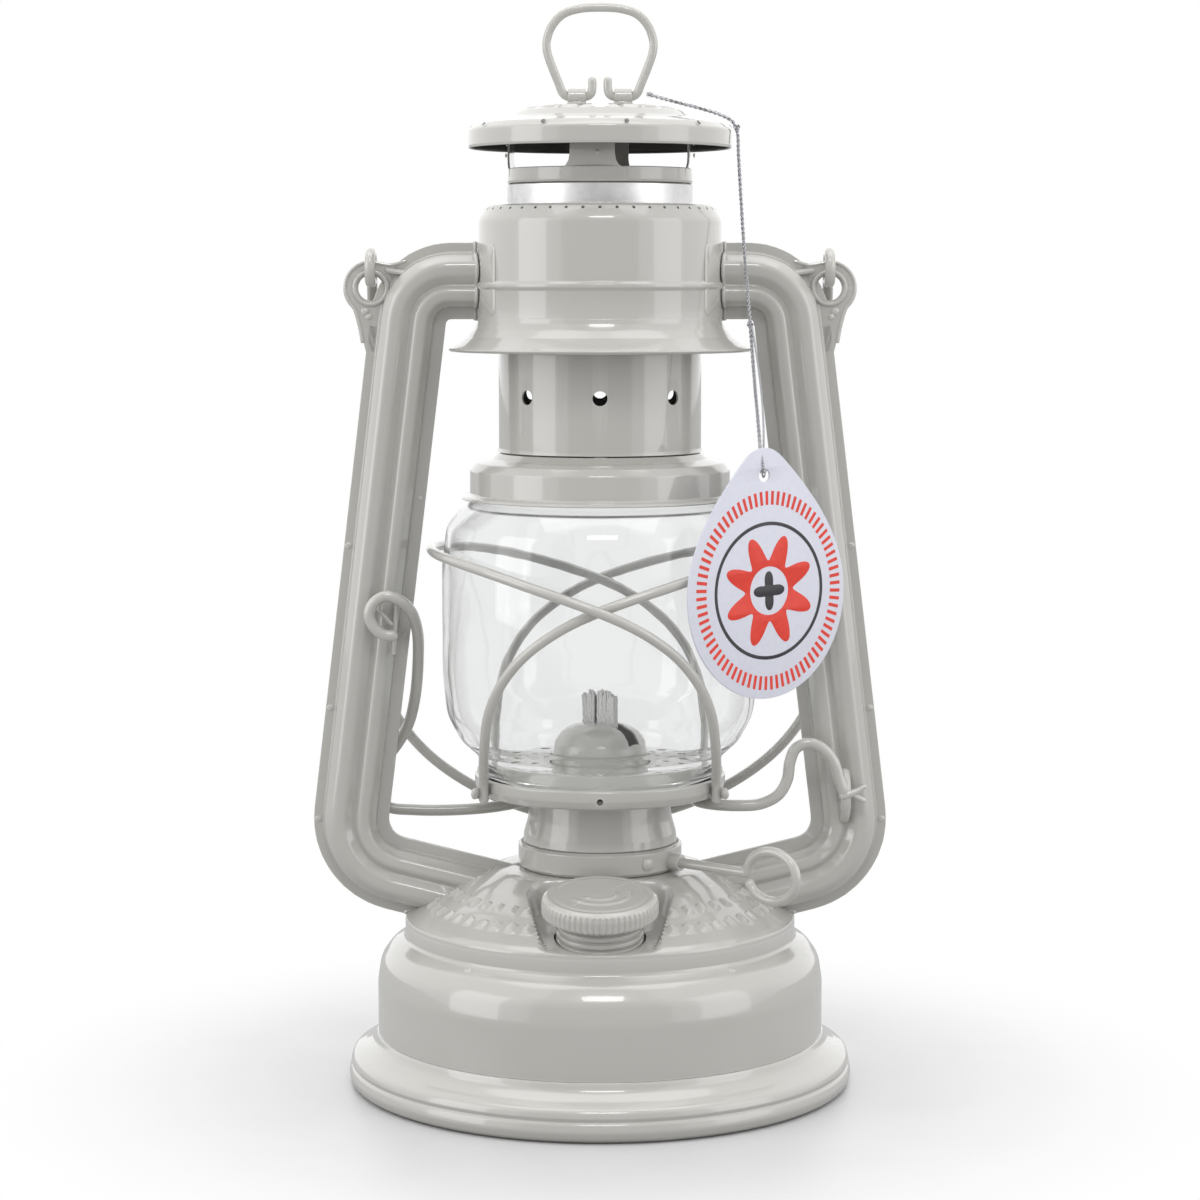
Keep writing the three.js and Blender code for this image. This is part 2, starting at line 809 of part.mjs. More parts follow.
// Lift lever: one bent wire from its pivot in the right tube, under the plate,
// round behind the burner and up past the left tube to a finger hook.
const leverPoints = place([
  [63.9, -4.8, 77.1],
  [63.9, -8.6, 77.1],
  [63.7, -10.3, 78.3],
  [62.4, -10.6, 82],
  [60.9, -10.9, 86.6],
  [58, -11, 90.1],
  [54.5, -11, 91.5],
  [51, -11, 90.1],
  [49.5, -11, 86.4],
  [48.9, -11, 82],
  [46.5, -11, 77.8],
  [41.8, -10.8, 75.4],
  [36, -10.3, 74.9],
  [30, -8, 74.8],
  [26, -3, 74.7],
  [24.6, 4, 74.5],
  [21.4, 12, 74.2],
  [15, 19.2, 73.9],
  [6, 23.6, 73.6],
  [-3, 24, 73.2],
  [-12, 21.1, 72.6],
  [-20, 16.2, 71.6],
  [-28, 13, 70.6],
  [-38, 11.4, 70],
  [-50, 10.8, 70.1],
  [-57, 10.6, 71],
  [-60.5, 10.6, 74.4],
  [-60.5, 10.6, 79],
  [-57.6, 10.4, 83.6],
  [-54, 9.6, 88.4],
  [-51, 8, 94],
  [-49.1, 5.4, 101.5],
  [-48, 1.4, 112],
  [-47.9, -4, 120.4],
  [-49.4, -8.4, 126],
  [-52.2, -10.6, 129],
  [-55.6, -11, 130],
  [-58.6, -11, 128.3],
  [-59.9, -11, 125.2],
  [-58.7, -11, 122],
  [-56.2, -11, 120],
  [-53.6, -10.8, 119.6],
]);
const leverSpur = place([
  [63.6, -10.5, 77.6],
  [66, -10.5, 78.4],
  [68.8, -10.4, 79.9],
]);
const lever = solidOf(wire(smooth(leverPoints, 60), LEVER_WIRE)).add(solidOf(wire(leverSpur, 2.2)));
add("lift_lever", geometryOf(lever), paint);

// Hang tag and its string.
function tagShape() {
  const shape = new THREE.Shape();
  shape.moveTo(0, 7);
  shape.bezierCurveTo(2.8, 7, 4.8, 5.6, 6.6, 3.8);
  shape.bezierCurveTo(14, -3.6, 25.5, -16, 25.5, -30);
  shape.bezierCurveTo(25.5, -45.4, 13.6, -57, 0, -57);
  shape.bezierCurveTo(-13.6, -57, -25.5, -45.4, -25.5, -30);
  shape.bezierCurveTo(-25.5, -16, -14, -3.6, -6.6, 3.8);
  shape.bezierCurveTo(-4.8, 5.6, -2.8, 7, 0, 7);
  return shape;
}
const punch = solidOf(drill(TAG_HOLE_RADIUS, 4, new THREE.Vector3(), new THREE.Vector3(0, 0, 1)));
const punchedTag = solidOf(plate(tagShape(), TAG_THICKNESS, 5)).subtract(punch);
const tag = geometryOf(punchedTag)
  .rotateZ(TAG_LEAN)
  .rotateX(Math.PI / 2)
  .rotateZ(TAG_TURN)
  .translate(TAG_HOLE.x, TAG_HOLE.y, TAG_HOLE.z);
add("hang_tag", tag, card);

// From the ring's foot over the hood's edge and down to the tag.
const stringPoints = place([
  [12.2, -1.6, 259.3],
  [15.5, -2, 258.3],
  [20, -2.4, 257.1],
  [26, -2.8, 255.5],
  [31, -3, 253.9],
  [34.1, -3.2, 252.2],
  [35.3, -3.6, 249.8],
  [35.7, -5.2, 243],
  [36.6, -10.2, 225],
  [37.9, -15.6, 206],
  [39.2, -20.9, 187],
  [40.3, -24.9, 172.8],
  [40.9, -26.8, 163.4],
]);
add("tag_string", wire(smooth(stringPoints, 24), STRING_THICKNESS, 4), thread);

export default part;
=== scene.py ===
"""A small hurricane lantern: the looks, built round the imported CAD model.

Lengths are in mm until joined() makes a mesh. Materials, lights and the camera are in metres.
"""

import cmath
import math
import random

import bmesh
import bpy
import numpy as np
from mathutils import Matrix, Vector


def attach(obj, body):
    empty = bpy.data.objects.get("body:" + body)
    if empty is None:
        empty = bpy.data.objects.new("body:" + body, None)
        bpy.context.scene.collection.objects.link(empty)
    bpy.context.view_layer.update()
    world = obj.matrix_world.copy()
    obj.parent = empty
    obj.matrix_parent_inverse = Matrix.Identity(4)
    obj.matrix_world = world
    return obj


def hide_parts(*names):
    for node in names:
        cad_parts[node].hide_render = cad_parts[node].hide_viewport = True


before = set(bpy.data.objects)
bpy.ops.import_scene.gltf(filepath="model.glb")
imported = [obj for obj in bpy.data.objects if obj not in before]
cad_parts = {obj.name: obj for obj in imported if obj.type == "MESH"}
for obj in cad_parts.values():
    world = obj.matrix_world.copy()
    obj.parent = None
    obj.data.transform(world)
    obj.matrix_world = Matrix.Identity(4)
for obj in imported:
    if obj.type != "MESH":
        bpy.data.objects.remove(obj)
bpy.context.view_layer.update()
scene = bpy.context.scene
MM = 0.001
TAU = 2 * math.pi
UPRIGHT = Matrix.Rotation(math.pi / 2, 4, "X")
shift = Matrix.Translation
random.seed(7)


# ---------- camera ----------
camera = bpy.data.objects.new("camera", bpy.data.cameras.new("camera"))
scene.collection.objects.link(camera)
camera.location = (0, -0.7985, 0.2116)
camera.rotation_euler = (math.pi / 2 - 0.1045, 0, 0)
camera.data.sensor_width = 36
camera.data.lens = 91.59
camera.data.clip_end = 50
scene.camera = camera
scene.view_settings.view_transform = "Standard"


# ---------- outlines ----------
def unit(rows):
    return rows / np.linalg.norm(rows, axis=1)[:, None]


def run_length(line):
    """How far along the line each of its points is."""
    return np.r_[0, np.cumsum(np.linalg.norm(np.diff(line, axis=0), axis=1))]


def rounded(points, closed=False):
    """The line through (x, y) or (x, y, corner radius) points."""
    line = []
    last = len(points) - 1
    for at, (x, y, *radius) in enumerate(points):
        if not radius or (not closed and at in (0, last)):
            line.append((x, y))
            continue
        corner = complex(x, y)
        before = corner - complex(*points[at - 1][:2])
        after = complex(*points[(at + 1) % len(points)][:2]) - corner
        turn = cmath.phase(after / before)
        if abs(turn) < 0.01:
            line.append((x, y))
            continue
        reach = min(radius[0] * math.tan(abs(turn) / 2), 0.48 * abs(before), 0.48 * abs(after))
        start = corner - before / abs(before) * reach
        size = math.copysign(reach / math.tan(abs(turn) / 2), turn)
        centre = start + before / abs(before) * 1j * size
        steps = max(2, math.ceil(abs(turn) / 0.2))
        for step in range(steps + 1):
            point = centre + (start - centre) * cmath.exp(1j * turn * step / steps)
            line.append((point.real, point.imag))
    return np.array(line)


def skin(points, thickness=0.5):
    """The closed outline of a sheet that lies to the left of a line, with round lips."""
    line = rounded(points)
    along = unit(np.diff(line, axis=0))
    before = np.vstack([along[:1], along])
    after = np.vstack([along, along[-1:]])
    middle = unit(before + after)
    side = np.c_[-middle[:, 1], middle[:, 0]]
    inner = line + side * (thickness / (middle * before).sum(1))[:, None]
    far = (line[-1] + inner[-1]) / 2 + along[-1] * thickness * 0.4
    near = (line[0] + inner[0]) / 2 - along[0] * thickness * 0.4
    if line[-1][0] < 0.01:
        far = inner[-1]
        inner[-1][0] = 0
    return np.vstack([line, far, inner[::-1], near])


def spline(points, spacing=1.0):
    """Evenly spaced points on a smooth curve through the given ones."""
    p = np.array(points, float)
    p = np.vstack([2 * p[0] - p[1], p, 2 * p[-1] - p[-2]])
    out = []
    for a, b, c, d in zip(p, p[1:], p[2:], p[3:]):
        t1 = max(np.linalg.norm(b - a), 1e-6) ** 0.5
        t2 = t1 + max(np.linalg.norm(c - b), 1e-6) ** 0.5
        t3 = t2 + max(np.linalg.norm(d - c), 1e-6) ** 0.5
        for t in np.linspace(t1, t2, 12, endpoint=False):
            ab = a * (t1 - t) / t1 + b * t / t1
            bc = b * (t2 - t) / (t2 - t1) + c * (t - t1) / (t2 - t1)
            cd = c * (t3 - t) / (t3 - t2) + d * (t - t2) / (t3 - t2)
            abc = ab * (t2 - t) / t2 + bc * t / t2
            bcd = bc * (t3 - t) / (t3 - t1) + cd * (t - t1) / (t3 - t1)
            out.append(abc * (t2 - t) / (t2 - t1) + bcd * (t - t1) / (t2 - t1))
    return evenly([*out, p[-2]], spacing)


def evenly(line, spacing):
    """The same line with its points an equal step apart, as near the spacing as its length allows."""
    line = np.array(line, float)
    length = run_length(line)
    count = max(2, round(length[-1] / spacing) + 1)
    at = np.linspace(0, length[-1], count)
    return np.c_[[np.interp(at, length, line[:, k]) for k in range(line.shape[1])]].T


def turns(count, start=0.0):
    return np.linspace(start, start + TAU, count, endpoint=False)


def circle(x, y, radius, count=40, start=0.0, sweep=TAU):
    angles = np.linspace(start, start + sweep, count, endpoint=sweep != TAU)
    return [(x + radius * math.cos(a), y + radius * math.sin(a)) for a in angles]


def polar(radius, heading, z=0.0):
    return (radius * math.cos(heading), radius * math.sin(heading), z)


# ---------- meshes, each a (points, faces) pair ----------
def grid_faces(rows, columns, closed_rows=True):
    """Quads over a grid of points. Its columns close on themselves, and its rows do unless told not to."""
    i, j = np.meshgrid(np.arange(rows if closed_rows else rows - 1), np.arange(columns), indexing="ij")
    i, j = i.ravel(), j.ravel()
    k, m = (i + 1) % rows, (j + 1) % columns
    return np.c_[i * columns + j, k * columns + j, k * columns + m, i * columns + m].tolist()


def capped_faces(rows, columns):
    """The faces of a row of rings, with both ends closed."""
    ends = [list(range(columns)), list(range((rows - 1) * columns, rows * columns))[::-1]]
    return grid_faces(rows, columns, closed_rows=False) + ends


def lathe(outline, sides=144):
    """Turns a closed (radius, height) outline about Z."""
    outline = np.array(outline)
    turn = turns(sides)[:, None]
    r, z = outline[None, :, 0], outline[None, :, 1]
    points = np.stack([r * np.cos(turn), r * np.sin(turn), z + 0 * turn], axis=-1).reshape(-1, 3)
    return points, grid_faces(sides, len(outline))


def tube(line, radius, sides=16, flat=1.0, flat_axis=None, round_ends=True):
    """Round wire along a line. radius may vary along it; flat squeezes it along flat_axis."""
    line = np.array(line, float)
    radius = np.broadcast_to(np.asarray(radius, float), (len(line),)).copy()
    tangent = unit(np.gradient(line, axis=0))
    if round_ends:
        for end, sign in ((0, -1), (-1, 1)):
            leans = (1.35, 1.0, 0.5) if end == 0 else (0.5, 1.0, 1.35)
            extra = np.array([line[end] + sign * tangent[end] * radius[end] * 0.75 * math.sin(a) for a in leans])
            sizes = np.array([radius[end] * math.cos(a) for a in leans])
            along = np.repeat(tangent[end][None], len(leans), axis=0)
            pairs = ((extra, line), (sizes, radius), (along, tangent))
            line, radius, tangent = (np.concatenate(p if end == 0 else p[::-1]) for p in pairs)
    first = np.array([0, 0, 1.0]) if abs(tangent[0][2]) < 0.8 else np.array([1.0, 0, 0])
    normal = first - tangent[0] * first.dot(tangent[0])
    angle = turns(sides)
    rings = []
    for at, direction in enumerate(tangent):
        normal = normal - direction * normal.dot(direction)
        normal /= np.linalg.norm(normal)
        across = np.cross(direction, normal)
        ring = radius[at] * (np.cos(angle)[:, None] * normal + np.sin(angle)[:, None] * across)
        if flat_axis is not None:
            axis = np.array(flat_axis, float)
            ring -= np.outer(ring @ axis, axis) * (1 - flat)
        rings.append(line[at] + ring)
    return np.concatenate(rings), capped_faces(len(line), sides)


def prism(corners, low, high):
    """A closed bar that stands on four (x, y) corners."""
    points = np.array([(x, y, z) for z in (low, high) for x, y in corners])
    return points, [[0, 1, 2, 3], [4, 7, 6, 5], [0, 4, 5, 1], [1, 5, 6, 2], [2, 6, 7, 3], [3, 7, 4, 0]]


def moved(made, matrix):
    points, faces = made
    m = np.array(matrix)
    return points @ m[:3, :3].T + m[:3, 3], faces


def mirrored(made, *signs):
    return made[0] * np.array(signs), made[1]


def plate(outlines, thickness, bevel=0.15):
    """A flat plate with bevelled edges in the XY plane. The first outline is the edge and the rest are holes."""
    curve = bpy.data.curves.new("plate", "CURVE")
    curve.dimensions = "2D"
    curve.fill_mode = "BOTH"
    curve.extrude = thickness / 2 - bevel
    curve.bevel_depth = bevel
    curve.bevel_resolution = 2
    curve.offset = -bevel
    for outline in outlines:
        points = curve.splines.new("POLY")
        points.points.add(len(outline) - 1)
        flat = np.c_[np.array(outline)[:, :2], np.zeros(len(outline)), np.ones(len(outline))]
        points.points.foreach_set("co", flat.ravel())
        points.use_cyclic_u = True
    holder = bpy.data.objects.new("plate", curve)
    scene.collection.objects.link(holder)
    bpy.context.view_layer.update()
    mesh = bpy.data.meshes.new_from_object(holder.evaluated_get(bpy.context.evaluated_depsgraph_get()))
    points = np.array([v.co for v in mesh.vertices])
    faces = [list(p.vertices) for p in mesh.polygons]
    bpy.data.objects.remove(holder)
    bpy.data.meshes.remove(mesh)
    return points, faces


def facing(direction):
    """The turn that points +Z along a direction."""
    return Vector((0, 0, 1)).rotation_difference(Vector(direction)).to_matrix().to_4x4()


def bump_at(at, turn, radius, height):
    """A small lens-shaped bump at a point, for spot welds, dents and rivets."""
    rings, sides = 5, 20
    outline = [(0, -height)]
    outline += [(radius * math.cos(a), height * math.sin(a)) for a in np.linspace(-0.3, math.pi / 2, rings)]
    outline[-1] = (0, height)
    return moved(lathe(outline, sides), shift(Vector(at)) @ turn)


def bar(at, direction, radius, length, sides=20):
    """A round bar centred at a point, used to drill holes."""
    outline = [(0, -length / 2), (radius, -length / 2), (radius, length / 2), (0, length / 2)]
    return moved(lathe(outline, sides), shift(Vector(at)) @ facing(direction))


def joined(made, name):
    """One mesh datablock from (points, faces) pairs in mm, with doubles merged and normals facing out."""
    points, faces, start = [], [], 0
    for some, theirs in made:
        points.append(np.asarray(some))
        faces += [[start + k for k in face] for face in theirs]
        start += len(some)
    mesh = bpy.data.meshes.new(name)
    mesh.from_pydata((np.concatenate(points) * MM).tolist(), [], faces)
    tidy = bmesh.new()
    tidy.from_mesh(mesh)
    bmesh.ops.remove_doubles(tidy, verts=tidy.verts, dist=1e-7)
    bmesh.ops.dissolve_degenerate(tidy, edges=tidy.edges, dist=1e-7)
    bmesh.ops.recalc_face_normals(tidy, faces=tidy.faces)
    tidy.to_mesh(mesh)
    tidy.free()
    return mesh


def carved(body, cutters):
    """The first (points, faces) pair with the others cut out of it."""
    objects = []
    for name, made in (("body", [body]), ("cutter", cutters)):
        obj = bpy.data.objects.new(name, joined(made, name))
        scene.collection.objects.link(obj)
        objects.append(obj)
    modifier = objects[0].modifiers.new("cut", "BOOLEAN")
    modifier.operation = "DIFFERENCE"
    modifier.solver = "EXACT"
    modifier.object = objects[1]
    bpy.context.view_layer.update()
    result = bpy.data.meshes.new_from_object(objects[0].evaluated_get(bpy.context.evaluated_depsgraph_get()))
    points = np.array([v.co for v in result.vertices]) / MM
    faces = [list(p.vertices) for p in result.polygons]
    for obj in objects:
        bpy.data.objects.remove(obj)
    return points, faces


def piece(name, made, material, body, slot, replaces=(), sharp=38, cutters=None, lining=None):
    """Makes one object from (points, faces) pairs, rides it on its body and hides the CAD parts it replaces.

    The cutters act on the first pair alone. An inside shade material, painted shade, covers the faces that look at
    the Z axis or down.
    """
    made = made if isinstance(made, list) else [made]
    if cutters:
        made = [carved(made[0], cutters), *made[1:]]
    mesh = joined(made, name)
    obj = bpy.data.objects.new(name, mesh)
    scene.collection.objects.link(obj)
    mesh.materials.append(material)
    # Painted shade goes on the faces that look inward or down.
    if lining:
        mesh.materials.append(lining)
        for face in mesh.polygons:
            normal, centre = face.normal, face.center
            inward = -(normal.x * centre.x + normal.y * centre.y) / max(centre.xy.length, 1e-4)
            if inward > 0.5 or normal.z < -0.6:
                face.material_index = 1
    mesh.polygons.foreach_set("use_smooth", [True] * len(mesh.polygons))
    mesh.set_sharp_from_angle(angle=math.radians(sharp))
    if replaces:
        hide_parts(*replaces)
    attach(obj, body)
    return obj


# ---------- materials ----------
class Nodes:
    """The node tree of a material or of the world, with its nodes added one by one."""

    def __init__(self, name, world=False):
        self.owner = (bpy.data.worlds if world else bpy.data.materials).new(name)
        self.owner.use_nodes = True
        self.tree = self.owner.node_tree
        self.shader = self.tree.nodes["Background" if world else "Principled BSDF"]
        self.place = self.add("ShaderNodeTexCoord").outputs["Generated" if world else "Object"]

    def add(self, kind, links=(), **settings):
        node = self.tree.nodes.new(kind)
        for key, value in settings.items():
            setattr(node, key, value)
        for key, value in dict(links).items():
            self.feed(node.inputs[key], value)
        return node

    def feed(self, socket, value):
        if isinstance(value, bpy.types.NodeSocket):
            self.tree.links.new(value, socket)
        else:
            socket.default_value = value

    def noise(self, scale, detail=3.0, roughness=0.5, place=None):
        links = {"Vector": place or self.place, "Scale": scale, "Detail": detail, "Roughness": roughness}
        return self.add("ShaderNodeTexNoise", links).outputs["Fac"]

    def twill(self, scale, distortion, detail, detail_scale=1.0):
        links = {"Vector": self.place, "Scale": scale, "Distortion": distortion, "Detail": detail}
        links["Detail Scale"] = detail_scale
        return self.add("ShaderNodeTexWave", links, bands_direction="DIAGONAL").outputs["Fac"]

    def ramp(self, value, stops):
        node = self.add("ShaderNodeValToRGB", {"Fac": value})
        ramp = node.color_ramp
        while len(ramp.elements) < len(stops):
            ramp.elements.new(0.5)
        for element, (at, colour) in zip(ramp.elements, stops):
            element.position = at
            element.color = (*colour, 1) if isinstance(colour, tuple) else (colour, colour, colour, 1)
        return node.outputs["Color"]

    def span(self, value, low, high, start=0.0, end=1.0, shape="LINEAR"):
        """Takes a value from start..end to low..high."""
        links = {"Value": value, "From Min": start, "From Max": end, "To Min": low, "To Max": high}
        return self.add("ShaderNodeMapRange", links, interpolation_type=shape).outputs[0]

    def mix(self, amount, a, b, blend="MIX"):
        node = self.add("ShaderNodeMix", {0: amount}, data_type="RGBA", blend_type=blend)
        for socket, value in ((node.inputs[6], a), (node.inputs[7], b)):
            self.feed(socket, (*value, 1) if isinstance(value, tuple) else value)
        return node.outputs[2]

    def maths(self, operation, a, b=0.0):
        return self.add("ShaderNodeMath", {0: a, 1: b}, operation=operation).outputs[0]

    def bump(self, height, distance, strength=1.0, under=None):
        node = self.add("ShaderNodeBump", {"Height": height, "Distance": distance, "Strength": strength})
        if under is not None:
            self.feed(node.inputs["Normal"], under)
        return node.outputs["Normal"]

    def rays(self, *kinds):
        """1 for rays of the two kinds named, and 0 for the rest."""
        path = self.add("ShaderNodeLightPath")
        return self.maths("MAXIMUM", *(path.outputs[kind] for kind in kinds))

    def cover(self, amount, under, over):
        """Puts a mix of two shader nodes on the output: the first at 0, the second at 1."""
        mixed = self.add("ShaderNodeMixShader", {0: amount, 1: under.outputs[0], 2: over.outputs[0]})
        self.feed(self.tree.nodes["Material Output"].inputs["Surface"], mixed.outputs[0])

    def set(self, **sockets):
        for key, value in sockets.items():
            self.feed(self.shader.inputs[key.replace("_", " ")], value)
        return self.owner


def enamel(name, base, light, dark):
    """Glossy stove enamel on pressed steel: faintly mottled, with painted highlights on convex edges and painted
    shade in creases.
    """
    n = Nodes(name)
    edge = n.add("ShaderNodeNewGeometry").outputs["Pointiness"]
    broad = n.ramp(n.noise(14, 2), [(0.3, dark), (0.7, base)])
    speck = n.ramp(n.noise(1900, 2), [(0.66, 0.0), (0.78, 1.0)])
    colour = n.mix(n.maths("MULTIPLY", speck, 0.07), broad, light)
    # Painted highlight: convex edges are mixed towards the light colour.
    colour = n.mix(n.ramp(edge, [(0.52, 0.0), (0.60, 0.6)]), colour, light)
    # Painted shade: concave creases are mixed towards a darker colour.
    colour = n.mix(n.ramp(edge, [(0.40, 0.28), (0.48, 0.0)]), colour, tuple(0.6 * c for c in dark))
    peel = n.bump(n.noise(480, 2), 0.00004, 0.2)
    waves = n.bump(n.noise(60, 1), 0.0006, 0.06, peel)
    n.set(Base_Color=colour, Roughness=n.span(n.noise(260, 4), 0.16, 0.26), Normal=waves, IOR=1.5)
    return n.set(Coat_Weight=1.0, Coat_Roughness=0.02, Coat_IOR=1.55)


def bright_metal(name, colour, dull, rough=(0.25, 0.4), spangle=0.0):
    """Bare metal with fine level lines, and with crystal spangles where their scale is given."""
    n = Nodes(name)
    tint = n.ramp(n.noise(60, 3), [(0.35, dull), (0.65, colour)])
    if spangle:
        cells = n.add("ShaderNodeTexVoronoi", {"Vector": n.place, "Scale": spangle}, feature="F1")
        grey = n.ramp(cells.outputs["Color"], [(0.2, 0.25), (0.8, 0.75)])
        tint = n.mix(0.35, tint, grey, "OVERLAY")
    squeezed = n.add("ShaderNodeMapping", {"Vector": n.place, "Scale": (1, 1, 30)}).outputs[0]
    fine = n.noise(300.0, place=squeezed)
    n.set(Base_Color=tint, Roughness=n.span(fine, *rough), Normal=n.bump(fine, 0.00003, 0.5))
    return n.set(Metallic=1.0)


def clear_glass():
    n = Nodes("clear_glass")
    tint = n.ramp(n.noise(30, 2), [(0.3, (0.90, 0.905, 0.905)), (0.7, (0.93, 0.935, 0.935))])
    n.set(Base_Color=tint, Roughness=n.span(n.noise(900, 2), 0.0, 0.03))
    n.set(Normal=n.bump(n.noise(55, 2), 0.0012, 0.12), Transmission_Weight=1.0, IOR=1.48)
    # Shadow and diffuse rays pass straight through, so the burner inside is lit.
    clear = n.add("ShaderNodeBsdfTransparent", {"Color": (0.96, 0.965, 0.965, 1)})
    n.cover(n.rays("Is Shadow Ray", "Is Diffuse Ray"), n.shader, clear)
    return n.owner


def woven(name, light, dark, scale, rough=0.9):
    n = Nodes(name)
    yarn = n.twill(scale, 2.5, 3.0, 3.0)
    fuzz = n.noise(scale * 5, 4, 0.7)
    both = n.maths("ADD", n.maths("MULTIPLY", yarn, 0.6), n.maths("MULTIPLY", fuzz, 0.4))
    rise = n.bump(n.maths("ADD", yarn, fuzz), 0.0002, 0.8)
    n.set(Base_Color=n.ramp(both, [(0.25, dark), (0.7, light)]), Normal=rise)
    return n.set(Roughness=rough, Sheen_Weight=0.3)


def metal_thread():
    n = Nodes("silver_thread")
    twist = n.twill(900.0, 3.0, 2.0)
    tint = n.ramp(twist, [(0.3, (0.22, 0.22, 0.24)), (0.7, (0.72, 0.73, 0.76))])
    return n.set(Base_Color=tint, Normal=n.bump(twist, 0.0001, 0.8), Metallic=0.6, Roughness=0.42)


def coated_card(name, light, dark, rough=0.42):
    n = Nodes(name)
    n.set(Base_Color=n.ramp(n.noise(700.0, 4, 0.6), [(0.3, dark), (0.7, light)]), Roughness=rough)
    return n.set(Normal=n.bump(n.noise(1400.0, 3), 0.00003, 0.4))


paint = enamel("grey_enamel", (0.49, 0.481, 0.452), (0.64, 0.63, 0.60), (0.48, 0.471, 0.442))
# A near-black enamel that paints shade inside tubes, under the hood, in the wick's gap and in the hood's dimples.
painted_shade = enamel("dark_inside", (0.045, 0.043, 0.04), (0.07, 0.068, 0.064), (0.03, 0.029, 0.028))
zinc = bright_metal("zinc_spangle", (0.88, 0.88, 0.88), (0.70, 0.70, 0.71), (0.3, 0.5), spangle=420.0)
tinplate = bright_metal("tinplate", (0.75, 0.75, 0.74), (0.6, 0.6, 0.59))
brass = bright_metal("brass", (0.72, 0.56, 0.28), (0.5, 0.38, 0.2))
glass = clear_glass()
cotton = woven("cotton_yarn", (0.97, 0.965, 0.955), (0.78, 0.77, 0.75), 1400)
rubber = woven("seal_rubber", (0.05, 0.05, 0.05), (0.02, 0.02, 0.02), 900, 0.75)
thread = metal_thread()
card = coated_card("tag_card", (0.72, 0.73, 0.82), (0.68, 0.69, 0.78))
red_ink = coated_card("red_ink", (0.80, 0.045, 0.02), (0.70, 0.035, 0.018), rough=0.38)
dark_ink = coated_card("dark_ink", (0.035, 0.032, 0.04), (0.022, 0.02, 0.026), rough=0.38)


def painted(name, made, body, replaces=(), **more):
    return piece(name, made, paint, body, "grey_paint", replaces, **more)


# ---------- tag and string ----------
TAG_HOLE = (41.4, -27.7, 162.4)
TAG_HEADING, TAG_LEAN = math.radians(36), math.radians(2.2)
tag_frame = shift(TAG_HOLE) @ Matrix.Rotation(TAG_HEADING, 4, "Z") @ UPRIGHT
tag_frame = tag_frame @ Matrix.Rotation(TAG_LEAN, 4, "Z")


def bezier(a, b, c, d, count=14):
    t = np.linspace(0, 1, count, endpoint=False)[:, None]
    a, b, c, d = map(np.array, (a, b, c, d))
    return ((1 - t) ** 3 * a + 3 * (1 - t) ** 2 * t * b + 3 * (1 - t) * t ** 2 * c + t ** 3 * d).tolist()


right_edge = [
    *bezier((0, 7), (2.8, 7), (4.8, 5.6), (6.6, 3.8)),
    *bezier((6.6, 3.8), (14, -3.6), (25.5, -16), (25.5, -30)),
    *bezier((25.5, -30), (25.5, -45.4), (13.6, -57), (0, -57), 20),
]
tag_outline = [*right_edge, (0, -57), *((-x, y) for x, y in right_edge[:0:-1])]
tag_sheet = moved(plate([tag_outline, circle(0, 0, 1.7)], 0.55, 0.12), tag_frame)
tag = piece("tag_blank", tag_sheet, card, "tag_body", "tag_card", ["hang_tag"])

PRINT_CENTRE = np.array([0.6, -29.4])
TICKS, TICK_HALF_WIDTH = 76, 0.42
ticks = []
for k in range(TICKS):
    a = TAU * k / TICKS
    # The printed ring is a little taller than wide.
    inner = np.array([20.2 * math.cos(a), 21.9 * math.sin(a)])
    outer = np.array([23.4 * math.cos(a), 25.4 * math.sin(a)])
    side = np.array([-math.sin(a), math.cos(a)]) * TICK_HALF_WIDTH
    corners = np.array([inner - side, outer - side, outer + side, inner + side]) + PRINT_CENTRE
    ticks.append(moved(prism(corners, 0.27, 0.32), tag_frame))
piece("tag_print_ring", ticks, red_ink, "tag_body", "tag_card")


def petals(radius, depth, count, phase=0.0):
    reach = [(t + phase, radius - depth + depth * math.cos(count * t)) for t in turns(240)]
    return [(r * math.cos(a), r * math.sin(a)) for a, r in reach]


def print_on(name, outlines, ink):
    """A thin print on the tag's face, round the middle of its ring."""
    thickness, lift = 0.06, 0.29
    flat = plate([(np.array(o) + PRINT_CENTRE).tolist() for o in outlines], thickness, 0.01)
    piece(name, moved(flat, tag_frame @ shift((0, 0, lift))), ink, "tag_body", "tag_card")


print_on("tag_print_rosette", [petals(14.6, 3.4, 8, 0.39), circle(0, 0, 6.2)[::-1]], red_ink)
print_on("tag_print_star", [petals(5.0, 1.5, 4)], dark_ink)
print_on("tag_print_band", [circle(0, 0, 17.6, 90), circle(0, 0, 16.7, 90)[::-1]], dark_ink)

STRING = [
    (12.2, -1.6, 259.3), (15.5, -2, 258.3), (20, -2.4, 257.1), (26, -2.8, 255.5), (31, -3, 253.9),
    (34.1, -3.2, 252.2), (35.3, -3.6, 249.8), (35.7, -5.2, 243), (36.6, -10.2, 225),
    (37.9, -15.6, 206), (39.2, -20.9, 187), (40.3, -24.9, 172.8), (40.9, -26.8, 163.4),
]
string_line = spline(STRING, 0.35)


def strand(line, phase, offset=0.25, radius=0.25, pitch=2.6):
    """One strand of a twisted cord."""
    tangent = unit(np.gradient(line, axis=0))
    across = unit(np.cross(tangent, [0, 1, 0.2]))
    up = np.cross(tangent, across)
    angle = (TAU * run_length(line) / pitch + phase)[:, None]
    return tube(line + offset * (np.cos(angle) * across + np.sin(angle) * up), radius, 8)


def string_piece(name, made, replaces=()):
    return piece(name, made, thread, "chimney", "silver_thread", replaces)


